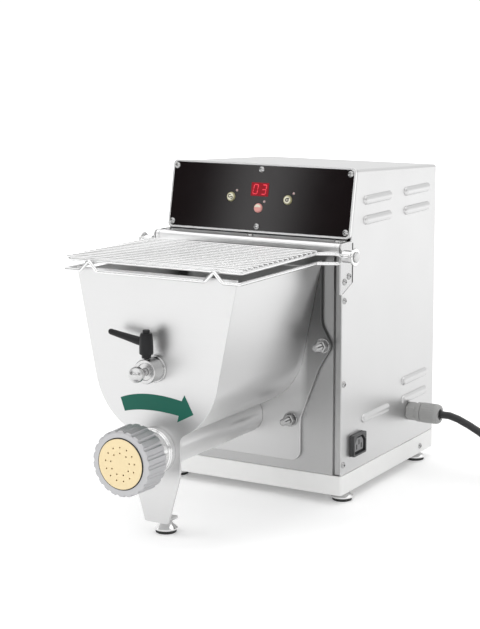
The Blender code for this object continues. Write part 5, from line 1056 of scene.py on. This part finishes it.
def hopper_nuts():
    """Washer, hexagon nut and threaded stud end, at the four fixings of the hopper."""
    washer = turned("washer", near(0, 0, (0, 15), (80, 15), (85, 11), (85, 0), (0, 0)))
    hexagon = turned("hexagon", near(0, 0, (0, 80), (60, 80), (72, 72), (72, 22), (66, 14), (0, 14)),
        steps=6)
    round_edges(hexagon, 0.0003)
    stud = turned("stud", [(0, 0.02), (0.0026, 0.02)] + threaded(0.004, 0.008, 0.0193, 0.00113)
        + [(0.0036, 0.0075), (0, 0.0075)], steps=32)
    pattern = gather(washer, hexagon, stud)
    for node, (x, z) in NUT_PLACES.items():
        piece = duplicate(pattern, node + "_fine")
        piece.data.transform(seat(place(x, -REAR_THICK - 2 * GAP, z), TO_FRONT))
        complete(piece, "nut_steel", node, angle=25.0)
    bpy.data.objects.remove(pattern, do_unlink=True)


def bow(points, steps):
    """A bend from the first to the last point, drawn towards the one between them."""
    first, middle, last = (Vector(point) for point in points)
    return [first * (1 - t) ** 2 + middle * 2 * t * (1 - t) + last * t ** 2
        for t in (i / steps for i in range(steps + 1))]


def arrow():
    """The curved arrow printed on the front plate."""
    outline = bow(((-0.044, 0.1464), (-0.0135, 0.159), (0.0325, 0.1508)), 12)
    outline += [(0.0359, 0.1575), (0.0469, 0.1379), (0.0269, 0.1275)]
    outline += bow(((0.0287, 0.1346), (-0.0109, 0.1398), (-0.0388, 0.132)), 12)
    piece = plate("arrow_decal", outline, ARROW_THICK, place(0, -PLATE_FRONT - ARROW_THICK / 2, 0),
        TO_FRONT)
    complete(piece, "arrow_print")


# Nozzle, ring nut and die

def nozzle():
    """The nozzle: a collar on the plate, a neck and the threaded end under the ring nut."""
    front = DIE_BACK - GAP
    back = PLATE_FRONT + GAP
    thread = threaded(NOZZLE_THREAD, RING_BACK + 0.0004, front - 0.0004, 0.004)
    profile = [(TUBE_BORE, front), (NOZZLE_THREAD - 0.001, front)] + thread
    profile += near(NOZZLE_THREAD, RING_BACK, (-16, 0))
    profile += [(NOZZLE_NECK, RING_BACK)] + near(NOZZLE_NECK, NOZZLE_COLLAR_FRONT, (0, 12), (12, 0))
    profile += near(NOZZLE_COLLAR, NOZZLE_COLLAR_FRONT, (-8, 0), (0, -8))
    profile += [(NOZZLE_COLLAR, back), (TUBE_BORE, back)]
    piece = turned("nozzle_turned", profile, *AUGER_LINE, steps=96)
    complete(piece, "auger_steel", "nozzle", angle=40.0)


def ring_nut():
    """The ribbed ring nut: turned, then grooved between its ribs."""
    lip = DIE_RADIUS + 0.0006
    bore = NOZZLE_THREAD + GAP
    face = RING_FRONT - RING_SET_BACK
    profile = near(lip, face, (4, 0)) + near(RING_FACE_RADIUS, face, (-4, 0), (0, -2))
    profile += near(RING_FRONT_RADIUS, face - RING_SHOULDER, (-6, 1), (0, -5))
    profile += near(RING_BACK_RADIUS, RING_BACK, (0, 12), (-3.6, 3.6), (-12, 0))
    profile += [(bore, RING_BACK), (bore, DIE_STEP), (lip, DIE_STEP)] + near(lip, face, (0, -4))
    piece = turned("ring_nut_cast", profile, *AUGER_LINE, steps=132)
    taper = math.atan2(RING_BACK_RADIUS - RING_FRONT_RADIUS, RING_FRONT - RING_BACK)
    out = (RING_BACK_RADIUS + RING_FRONT_RADIUS) / 2 - RING_GROOVE + RING_CUTTER
    middle = (RING_FRONT + RING_BACK) / 2
    reach = (RING_FRONT - RING_BACK) / 2
    groove = turned("groove", [(0, reach + 0.002), (RING_CUTTER, reach + 0.002),
        (RING_CUTTER, -reach - 0.002), (0, -reach - 0.002)], steps=24)
    carve(piece, repeated("grooves", groove, circle(AUGER_LINE, RING_RIBS,
        Matrix.Translation((out, 0, middle)), Matrix.Rotation(-taper, 4, "Y"))))
    round_edges(piece, 0.0004, limit=32.0)
    complete(piece, "cast_aluminium", "ring_nut", body="nut_ring")


def die():
    """The bronze die with two circles of small countersunk holes, and a black ring in the gap round its rim
    that is painted shade of that gap.
    """
    profile = [(0, DIE_FRONT)] + near(DIE_RADIUS, DIE_FRONT, (-6, 0), (0, -6))
    profile += [(DIE_RADIUS, DIE_STEP), (NOZZLE_THREAD, DIE_STEP), (NOZZLE_THREAD, DIE_BACK), (0, DIE_BACK)]
    piece = turned("die_bronze_disc", profile, *AUGER_LINE, steps=96)
    sink = DIE_HOLE * 1.2
    hole = turned("hole", near(0, DIE_FRONT, (0, 20)) + near(sink, DIE_FRONT, (0, 20), (0, 0))
        + near(DIE_HOLE, DIE_FRONT, (0, -4)) + near(DIE_HOLE, DIE_BACK, (0, -20))
        + near(0, DIE_BACK, (0, -20)), steps=16)
    matrices = []
    for count, radius in DIE_CIRCLES:
        for x, y in arc(radius, math.pi / 2, math.pi / 2 + math.tau, count)[:-1]:
            matrices.append(seat(*AUGER_LINE) @ Matrix.Translation((x, y, 0)))
    carve(piece, repeated("die_holes", hole, matrices))
    complete(piece, "die_bronze", "die", body="die_plate")
    # A black ring fills the gap between the die and the ring nut's lip: painted shade of the gap, worn as
    # black rubber.
    band = turned("die_gap_shadow", near(DIE_RADIUS, DIE_FRONT, (4, -3))
        + near(DIE_RADIUS, DIE_STEP, (4, 4), (1, 4)) + near(DIE_RADIUS, DIE_FRONT, (1, -3)), *AUGER_LINE,
        steps=96)
    complete(band, "black_rubber", body="die_plate")


# Boss, pull pin and lever

def mixer_boss():
    """The turned boss on the front plate, with the stud that the lever clamps on."""
    bore = PIN_RADIUS + GAP
    profile = near(bore, BOSS_FRONT, (0, -15))
    profile += near(BOSS_RECESS, BOSS_FRONT, (-4, -15), (0, -11), (0, -2), (3, 0))
    profile += near(BOSS_RADIUS, BOSS_FRONT, (-10, 0), (-3, -3), (0, -10))
    profile += near(BOSS_RADIUS, PLATE_FRONT + GAP, (0, 30))
    profile += near(BOSS_FLANGE, PLATE_FRONT + GAP, (-4, 30), (0, 26), (0, 0))
    piece = turned("boss_turned", profile + [(bore, PLATE_FRONT + GAP)], *MIXER_LINE, steps=96)
    low = MIXER_Z + BOSS_RECESS + 0.001
    thread = threaded(LEVER_STUD, MIXER_Z + BOSS_RADIUS - 0.001, LEVER_STUD_TOP - 0.0005, 0.0008)
    stud = turned("lever_stud", [(0, LEVER_STUD_TOP), (LEVER_STUD * 0.8, LEVER_STUD_TOP)] + thread
        + [(LEVER_STUD * 0.9, low), (0, low)], place(0, -LEVER_Y, 0), steps=24)
    gather(piece, stud)
    complete(piece, "boss_steel", "mixer_boss")


def pull_pin():
    """The pull pin with the ball at its end."""
    start = math.acos(PIN_RADIUS / PIN_BALL)
    profile = [(0, PIN_BALL_Y + PIN_BALL)]
    profile += arc(PIN_BALL, math.pi / 2, -start, 24, (0, PIN_BALL_Y))[1:]
    profile += near(PIN_RADIUS, PIN_INSIDE_Y, (0, 6), (-6, 0)) + [(0, PIN_INSIDE_Y)]
    piece = turned("pull_pin_turned", profile, *MIXER_LINE)
    complete(piece, "boss_steel", "pull_pin", body="pin")


def clamp_lever():
    """The black lever: a hub with a collar and a cap, and an arm that rises to the left."""
    box_low, box_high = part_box("clamp_lever")
    top = box_high[2] - LEVER_LOW
    lever = turned("lever_moulded", [(0, top)] + near(0, top, (34, 0), (38, -4))
        + near(0, 0, (38, 262), (60, 262), (67, 240), (71, 190), (74, 120), (74, 50), (70, 42), (50, 42),
        (50, 2), (48, 0)) + near(LEVER_STUD + GAP, 0, (0, 0), (0, 150)) + [(0, 0.015)],
        place(0, -LEVER_Y, LEVER_LOW))
    rise = math.atan2(LEVER_RISE, LEVER_ARM)
    length = -box_low[0] / math.cos(rise)
    arm = turned("lever_arm", near(0, length, (0, 0), (16, -4), (28, -16), (32, -34))
        + [(0.0038, length * 0.55)] + near(0, 0, (46, 100), (46, 30), (0, 30)),
        place(0, -LEVER_Y, LEVER_LOW + LEVER_ARM_Z), (0, rise - math.pi / 2, 0))
    axis = place(0, -LEVER_Y, 0)
    flatten = Matrix.Scale(LEVER_FLAT, 4, Vector((0, 1.0, 0)))
    arm.data.transform(Matrix.Translation(axis) @ flatten @ Matrix.Translation(-axis))
    fuse(lever, arm)
    round_edges(lever, 0.0005, limit=40.0)
    complete(lever, "black_plastic", "clamp_lever", body="lever")


# Wire lid

def bent_rod(name, points, radius, bend):
    """A round rod along a path whose corners are bent, closed at both ends."""
    path = [Vector(points[0])]
    for before, here, after in zip(points, points[1:], points[2:]):
        here = Vector(here)
        path += bow((here + (Vector(before) - here).normalized() * bend, here,
            here + (Vector(after) - here).normalized() * bend), 6)
    path.append(Vector(points[-1]))
    take(round_curve(name, path, radius))
    bpy.ops.object.convert(target="MESH")
    return bpy.context.object


def both_sides(half):
    return [place(*point) for point in half + [(-x, y, z) for x, y, z in half[::-1]]]


def wire_lid():
    """The upper frame of the lid from hub to hub, with round-ended cross wires."""
    end_y = -PIVOT_Y - HUB_RADIUS + LID_ROD / 2
    end_z = PIVOT_Z + LID_ROD / 2
    hub_x = HUB_START + HUB_LENGTH / 2
    rod = bent_rod("lid_frame", both_sides([(hub_x, end_y, end_z),
        (LID_ARM_HALF, end_y - LID_CORNER, end_z), (LID_ARM_HALF, -LID_STEP_Y + LID_CORNER, LID_UPPER_Z),
        (LID_HALF, -LID_STEP_Y - LID_CORNER, LID_UPPER_Z), (LID_HALF, -LID_FRONT, LID_UPPER_Z)]), LID_ROD,
        LID_CORNER)
    reach = LID_HALF + LID_OVERHANG
    wire = turned("cross_wire", [(0, reach), (LID_WIRE * 0.6, reach - LID_WIRE * 0.15),
        (LID_WIRE, reach - LID_WIRE * 0.7), (LID_WIRE, LID_WIRE * 0.7 - reach),
        (LID_WIRE * 0.6, LID_WIRE * 0.15 - reach), (0, -reach)], steps=12)
    height = LID_UPPER_Z + LID_ROD + LID_WIRE / 2
    first = LID_STEP_Y + LID_CORNER + LID_ROD
    step = (LID_FRONT - first) / (LID_WIRES - 1)
    wires = repeated("cross_wires", wire, [seat(place(0, -first - i * step, height), TO_RIGHT)
        for i in range(LID_WIRES)])
    end = HUB_START + HUB_LENGTH
    inside = end - HUB_DISC_THICK
    hub = turned("lid_hub", [(HUB_BORE, end)] + near(HUB_DISC, end, (-6, 0), (-2, -2), (0, -6))
        + near(HUB_DISC, inside, (0, 4), (-4, 0)) + [(HUB_RADIUS, inside)]
        + near(HUB_RADIUS, HUB_START, (0, 4), (-4, 0)) + [(HUB_BORE, HUB_START)])
    hubs = repeated("lid_hubs", hub, [seat(place(0, -PIVOT_Y, PIVOT_Z), turn)
        for turn in (TO_LEFT, TO_RIGHT)])
    gather(rod, wires, hubs)
    rod.name = "lid_wires"
    complete(rod, "lid_wire_steel", "wire_lid", body="lid", angle=50.0)


def lid_lower_rod():
    front = -LID_FRONT - 2 * LID_ROD - GAP
    back = -PIVOT_Y - HUB_RADIUS - LID_TAIL
    rod = bent_rod("lid_rim_rod", both_sides([(LID_ARM_HALF, back, LID_LOWER_Z),
        (LID_ARM_HALF, -LID_STEP_Y + LID_CORNER, LID_LOWER_Z),
        (LID_HALF, -LID_STEP_Y - LID_CORNER, LID_LOWER_Z), (LID_HALF, front, LID_LOWER_Z),
        (LID_BUMP_X + LID_BUMP_HALF, front, LID_LOWER_Z), (LID_BUMP_X, front, LID_UPPER_Z),
        (LID_BUMP_X - LID_BUMP_HALF, front, LID_LOWER_Z)]), LID_ROD, LID_ROD)
    complete(rod, "lid_wire_steel", "lid_lower_rod", body="lid", angle=50.0)


# Feet

def foot(name, x, y, under, stud_top):
    """A turned chrome cone with its stud, on a rubber pad."""
    low = PAD_HEIGHT + GAP
    top = under - GAP
    waist = low + CONE_RIM + (top - low) * 0.35
    cone = turned("foot_" + name + "_turned", [(0, stud_top)]
        + near(STUD_RADIUS, stud_top, (-4, 0), (0, -4)) + [(STUD_RADIUS, top)]
        + near(CONE_NECK, top, (0, 0), (4, -8)) + [(CONE_RADIUS * 0.62, waist)]
        + near(CONE_RADIUS, low + CONE_RIM, (-6, 3), (0, -2)) + near(CONE_RADIUS, low, (0, 6), (-6, 0))
        + [(0, low)], place(x, y, 0))
    complete(cone, "bright_chrome", "foot_" + name)
    pad = turned("pad_" + name + "_moulded", [(0, PAD_HEIGHT)]
        + near(PAD_RADIUS, PAD_HEIGHT, (-3, 0), (0, -3)) + near(PAD_RADIUS, 0, (0, 10), (-3, 3), (-9, 0))
        + [(0, 0)], place(x, y, 0))
    complete(pad, "black_rubber", "pad_" + name)


def feet():
    for name, (x, y) in FOOT_PLACES.items():
        foot(name, x, y, TRAY_BOTTOM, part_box("foot_" + name)[1][2])
    foot("leg", 0, -LEG_FOOT, LEG_BOTTOM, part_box("foot_leg")[1][2])


# Control panel

SEGMENTS = {"0": "abcdef", "3": "abcdg"}


def digits():
    """The two lit figures of the display, built from one bar shape."""
    length = 0.0054
    wide = 0.0012
    bars = {"a": (0, length, 0), "g": (0, 0, 0), "d": (0, -length, 0), "b": (length / 2, length / 2, 1.0),
        "c": (length / 2, -length / 2, 1.0), "e": (-length / 2, -length / 2, 1.0),
        "f": (-length / 2, length / 2, 1.0)}
    tip = wide / 2
    shape = [(-length / 2 + 0.0002, 0), (-length / 2 + tip, tip), (length / 2 - tip, tip),
        (length / 2 - 0.0002, 0), (length / 2 - tip, -tip), (-length / 2 + tip, -tip)]
    pattern = plate("bar", shape, 0.0002)
    lean = Matrix.Identity(4)
    lean[0][1] = math.tan(DIGIT_SLANT)
    matrices = []
    for x, figure in ((-0.0055, "0"), (0.0055, "3")):
        for segment in SEGMENTS[figure]:
            across, up, upright = bars[segment]
            turn = Matrix.Rotation(math.pi / 2 * upright, 4, "Z")
            inside = lean @ Matrix.Translation((across, up, 0)) @ turn
            matrices.append(seat(on_panel(x, DISPLAY_UP, 0.0002), PANEL_TURN) @ inside)
    complete(repeated("display_figures", pattern, matrices), "digit_red")


def ring_print(name, radius, width, arc_share=1.0, turn=0):
    """A thin printed ring or part of one, about the origin."""
    steps = 28
    sweep = math.tau * arc_share
    outer = arc(radius, turn, turn + sweep, steps)
    inner = arc(radius - width, turn + sweep, turn, steps)
    return plate(name, outer + inner, PRINT_THICK)


def key_symbols():
    """Generic printed signs on the two cream keys."""
    crown = 0.00205
    for name, body in (("left", "key_left"), ("right", "key_right")):
        x, up = KEY_PLACES[name]
        if name == "left":
            first = ring_print("sign_loop", 0.0021, 0.001, 0.8, math.radians(40))
            second = ring_print("sign_hook", 0.0017, 0.0009, 0.8, math.radians(220))
            first.data.transform(Matrix.Translation((-0.0011, 0.0008, 0)))
            second.data.transform(Matrix.Translation((0.0016, -0.001, 0)))
        else:
            first = ring_print("sign_wheel", 0.0022, 0.0012, 0.97)
            second = plate("sign_spoke", [(0, 0.0012), (0.003, 0.0016), (0.003, 0.0028), (0, 0.0022)],
                PRINT_THICK)
        sign = gather(first, second)
        sign.name = "key_sign_" + name
        sign.data.transform(seat(on_panel(x, up, crown), PANEL_TURN))
        complete(sign, "symbol_print", body=body)


def key_caps():
    """Domed key caps with a thin rim, and the pale face of the two outer ones."""
    for name in ("left", "right"):
        x, up = KEY_PLACES[name]
        face = turned("key_face_" + name, [(0, 0.00195), (0.0034, 0.00195), (0.0041, 0.0018),
            (0.0041, 0.0015), (0, 0.0015)], on_panel(x, up), PANEL_TURN, steps=48)
        complete(face, "cream_plastic", body="key_" + name)
    for name, material, slot in (("left", "khaki_plastic", "cream_plastic"),
            ("right", "khaki_plastic", "cream_plastic"), ("centre", "rose_plastic", "pink_lamp")):
        x, up = KEY_PLACES[name]
        piece = turned("key_cap_" + name, near(0, 0, (0, 18), (30, 18), (42, 16), (50, 12), (54, 5),
            (54, -43), (66, -43), (66, -55), (20, -55), (20, -120), (0, -120)), on_panel(x, up), PANEL_TURN,
            steps=48)
        complete(piece, material, "button_" + name, body="key_" + name)


def centre_key_shade():
    """The pale upper half of the centre key."""
    outline = arc(0.0042, math.radians(12), math.radians(168), 24)
    piece = plate("key_centre_upper", outline, PRINT_THICK, on_panel(*KEY_PLACES["centre"], 0.00188),
        PANEL_TURN)
    complete(piece, "cream_plastic", body="key_centre")


def lamps():
    dome = turned("lamp", [*near(0, 0, (0, 8), (7, 7), (12, 4), (15, 0), (15, -10), (0, -10))], steps=24)
    matrices = [seat(on_panel(x + LAMP_ASIDE, up + LAMP_ABOVE), PANEL_TURN)
        for x, up in KEY_PLACES.values()]
    complete(repeated("lamp_lenses", dome, matrices), "lamp_rose")


# Screws

def screw_pattern():
    """A domed head with a cross recess, made about the origin."""
    head = turned("screw_pattern", [(0, SCREW_DOME), (SCREW_RADIUS * 0.35, SCREW_DOME * 0.97),
        (SCREW_RADIUS * 0.7, SCREW_DOME * 0.8), (SCREW_RADIUS * 0.92, SCREW_DOME * 0.5),
        (SCREW_RADIUS, SCREW_DOME * 0.18), (SCREW_RADIUS, 0), (0, 0)], steps=32)
    wing = SCREW_RADIUS * 0.52
    slim = SCREW_RADIUS * 0.13
    for x, y in ((wing, slim), (slim, wing)):
        carve(head, box_tool((-x, -y, SCREW_DOME * 0.42), (x, y, SCREW_DOME * 2)))
    return head


def screws():
    """Every screw head of panel, hood, sides, tray and back, in one piece."""
    seats = [seat(on_panel(x, up), PANEL_TURN) for x in PANEL_SCREWS_X for up in PANEL_SCREWS_UP]
    seats += [seat(place(x, HOOD_SCREW_Y, HOOD_TOP), UPRIGHT) for x in HOOD_SCREWS_X]
    for _, side, turn in SIDES:
        seats += [seat(place(side * x, y, z), turn) for x, y, z in SIDE_SCREWS]
    seats += [seat(place(side * REAR_SCREW_X, REAR_FACE_Y, z), TO_BACK) for side in (-1, 1)
        for z in REAR_SCREWS_Z]
    complete(repeated("screw_heads", screw_pattern(), seats), "screw_steel", angle=30.0)


# Outlet, cable gland and mains cord

def outlet_face():
    """The dark well of the outlet, the grey block in it, and black plates on the block painted as the shade
    inside its three slots.
    """
    face = HALF_WIDTH + OUTLET_PROUD - OUTLET_RECESS

    def opening(margin):
        low_y = OUTLET_FRONT + margin
        high_y = OUTLET_FRONT + OUTLET_WIDTH - margin
        low_z = OUTLET_LOW + margin
        high_z = OUTLET_LOW + OUTLET_HEIGHT - margin
        cut = OUTLET_CHAMFER - margin / 2
        corners = ((low_y, low_z), (high_y, low_z), (high_y, high_z - cut), (high_y - cut, high_z),
            (low_y + cut, high_z), (low_y, high_z - cut))
        return rounded([(y, z, OUTLET_CORNER) for y, z in corners], steps=4)

    well = plate("outlet_well", opening(OUTLET_WALL + GAP), 0.0002, place(face + 0.0001, 0, 0), SIDE_VIEW)
    complete(well, "black_rubber")
    block = plate("outlet_block", opening(OUTLET_WALL + 0.0026), 0.001, place(face + 0.0007, 0, 0),
        SIDE_VIEW, 0.0003)
    complete(block, "insert_plastic")
    # The slots are not cut: thin black plates on the block are painted shade of the openings.
    slots = []
    for across, up in ((-1, -1), (0, 1), (1, -1)):
        middle = place(face + 0.0013, OUTLET_FRONT + OUTLET_WIDTH / 2 + across * 0.006,
            OUTLET_LOW + OUTLET_HEIGHT / 2 + up * 0.0024)
        slots.append(plate("outlet_slot", oblong(-0.001, 0.001, -0.0029, 0.0029), 0.0002, middle,
            SIDE_VIEW))
    gather(*slots)
    slots[0].name = "outlet_slots"
    complete(slots[0], "black_rubber")


def cable_gland():
    """The grey gland: hexagon, sealing ring and a ribbed cap with a rounded mouth."""
    start = HALF_WIDTH + GAP
    base = turned("gland_hexagon", near(0, start, (0, 110), (104, 110), (115, 100), (115, 0), (0, 0)),
        *GLAND_LINE, steps=6)
    round_edges(base, 0.0005)
    cap = turned("gland_cap", near(0, GLAND_MOUTH, (66, 28), (97, 28), (110, 20), (118, 0), (121, -30))
        + near(0, start, (121, 195), (117, 186), (102, 185), (102, 182), (118, 180), (118, 132), (102, 130),
        (102, 100), (66, 100)), *GLAND_LINE, steps=96)
    rib = cutter(0.0006, ORIGIN, UPRIGHT, 0.008)
    carve(cap, repeated("gland_ribs", rib, circle(GLAND_LINE, 24, Matrix.Translation((0.0124, 0, 0.1485)))))
    piece = gather(base, cap)
    piece.name = "gland_moulded"
    complete(piece, "gland_plastic", "cable_gland", angle=30.0)


def path_length(points):
    return sum((Vector(b) - Vector(a)).length for a, b in zip(points, points[1:]))


def coil_points():
    """Two layers of loops: the lower one winds inwards and the upper one back outwards."""
    start = Vector(CORD_ROUTE[-1]) + Vector((GAP, 0, 0))
    straight = 2 * CORD_RADIUS
    left = CORD_LENGTH - path_length(CORD_ROUTE) - 2 * straight - RELIEF_LENGTH
    turns = round(left / (math.tau * COIL_RADIUS) * COIL_POINTS) / COIL_POINTS
    deep = turns / 2
    outer = COIL_RADIUS + COIL_STEP * deep / 2
    centre = start + Vector((straight, -outer, 0))
    points = [tuple(start)]
    for i in range(round(turns * COIL_POINTS) + 1):
        along = i / COIL_POINTS
        inwards = min(along, turns - along)
        radius = outer - COIL_STEP * inwards
        angle = math.pi / 2 - math.tau * along
        climb = min(1.0, max(0, (along - deep) * 2 + 0.5))
        height = COIL_LAYER * climb * climb * (3.0 - 2.0 * climb)
        points.append((centre.x + radius * math.cos(angle), centre.y + radius * math.sin(angle),
            centre.z + height))
    heading = math.pi / 2 - math.tau * turns - math.pi / 2
    tail = Vector(points[-1]) + Vector((math.cos(heading), math.sin(heading), 0)) * straight
    points.append(tuple(tail))
    return points, heading


def mains_cord():
    """The cord from the gland to the coil, and on into the plug's strain relief."""
    coil, heading = coil_points()
    along = Vector((math.cos(heading), math.sin(heading), 0))
    end = Vector(coil[-1]) + along * RELIEF_LENGTH
    route = [place(*point) for point in CORD_ROUTE + coil + [tuple(end)]]
    lead = round_curve("mains_lead", route, CORD_RADIUS)
    lead.data.materials.append(FINISHES["cord_rubber"])
    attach(lead, "machine")
    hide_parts("mains_cord", "cord_coil")


# Stage, light and view

def floor():
    """A wide pale floor that keeps the machine's soft shadow."""
    bpy.ops.object.select_all(action="DESELECT")
    bpy.ops.mesh.primitive_plane_add(size=40.0)
    ground = bpy.context.object
    ground.name = "studio_floor"
    material = bpy.data.materials.new("studio_floor_white")
    material.use_nodes = True
    tree = material.node_tree
    shader = tree.nodes["Principled BSDF"].inputs
    shader["Base Color"].default_value = (0.95, 0.95, 0.95, 1.0)
    shader["Roughness"].default_value = 0.9
    shader["Specular IOR Level"].default_value = 0.1
    seen = work(tree, "MAXIMUM", add(tree, "LightPath", output="Is Camera Ray"),
        add(tree, "LightPath", output="Is Glossy Ray"))
    spot = add(tree, "NewGeometry", output="Position")
    reach = add(tree, "VectorMath", {0: spot}, "Value", operation="LENGTH")
    glow = work(tree, "MULTIPLY", seen, ramp(tree, reach, 0.4, 3.0, 0.19, 0.75))
    shader["Emission Color"].default_value = (1.0, 1.0, 1.0, 1.0)
    tree.links.new(glow, shader["Emission Strength"])
    ground.data.materials.append(material)


def soft_lamp(name, at, aim, size, power):
    lamp = bpy.data.lights.new(name, "AREA")
    lamp.shape = "RECTANGLE"
    lamp.size = size[0]
    lamp.size_y = size[1]
    lamp.energy = power
    holder = bpy.data.objects.new(name, lamp)
    bpy.context.scene.collection.objects.link(holder)
    holder.location = at
    direction = Vector(aim) - Vector(at)
    holder.rotation_euler = direction.to_track_quat("-Z", "Y").to_euler()
    holder.visible_glossy = False
    return holder


def studio_world():
    """White all round for the eye; in reflections the studio behind the camera is dim."""
    world = bpy.data.worlds.new("studio")
    bpy.context.scene.world = world
    world.use_nodes = True
    tree = world.node_tree
    sight = add(tree, "TexCoord", output="Generated")

    def band(axis, low, high, first=0, last=1.0):
        return ramp(tree, component(tree, sight, axis), low, high, first, last)

    def chain(operation, total, *values):
        for value in values:
            total = work(tree, operation, total, value)
        return total

    def product(*values):
        return chain("MULTIPLY", *values)

    def brightest(*values):
        return chain("MAXIMUM", *values)

    # The glow that the front of the machine mirrors, in a low and a high band
    high = product(band("Z", 0.27, 0.31), band("Z", 0.45, 0.65, 1.0, 0))
    panel = product(band("Y", -0.6, -0.3, 1.0, 0), band("X", -0.72, -0.32, 0.2, 1.5),
        brightest(band("Z", 0.09, 0.13, 1.0, 0), high))

    # A thin bright strip straight ahead of the lens, between these bands
    across = add(tree, "VectorMath", {0: sight, 1: (0.866, -0.5, 0)}, "Value", operation="DOT_PRODUCT")
    level = product(band("Z", 0.08, 0.13), band("Z", 0.27, 0.32, 1.0, 0))
    strip = product(ramp(tree, work(tree, "ABSOLUTE", across), 0.001, 0.04, 4.5, 0),
        product(band("Y", -0.5, -0.3, 1.0, 0), level))

    # The studio behind the machine and above it
    behind = ramp(tree, band("Y", -0.35, 0.25), 0, 1.0, 0.28, 1.02)
    above = ramp(tree, band("Z", 0.45, 0.75), 0, 1.0, 0.28, 1.4)

    glossy = brightest(behind, above, strip, panel)
    soft = add(tree, "LightPath", output="Is Diffuse Ray")
    sharp = product(glossy, work(tree, "SUBTRACT", 1.0, soft))
    total = work(tree, "ADD", product(soft, 0.8), sharp)
    back = tree.nodes["Background"].inputs
    back["Color"].default_value = (1.0, 1.0, 1.0, 1.0)
    tree.links.new(brightest(total, add(tree, "LightPath", output="Is Camera Ray")), back["Strength"])


def lights():
    soft_lamp("key_light", (-1.4, -1.3, 1.9), (0, 0, 0.2), (1.6, 1.6), 16.0)
    soft_lamp("top_light", (0.2, 0.3, 2.2), (0, 0, 0.1), (2.0, 2.0), 14.0)


def camera():
    lens = bpy.data.cameras.new("studio_camera")
    lens.lens = CAMERA_LENS
    lens.sensor_width = 36.0
    lens.sensor_fit = "AUTO"
    lens.shift_y = CAMERA_SHIFT
    holder = bpy.data.objects.new("studio_camera", lens)
    bpy.context.scene.collection.objects.link(holder)
    holder.location = CAMERA_AT
    holder.rotation_euler = CAMERA_TURN
    bpy.context.scene.camera = holder


for build in (camera, mains_cord, finish_nodes, casing, base_tray, trim_hood, control_fascia, lid_brackets,
        hopper_front, hopper_trough, hopper_rear, hopper_nuts, arrow, nozzle, ring_nut, die, mixer_boss,
        pull_pin, clamp_lever, wire_lid, lid_lower_rod, feet, control_overlay, digits, key_caps,
        key_symbols, centre_key_shade, lamps, screws, outlet_face, cable_gland, floor, lights,
        studio_world):
    build()
bpy.context.scene.view_settings.view_transform = "Standard"
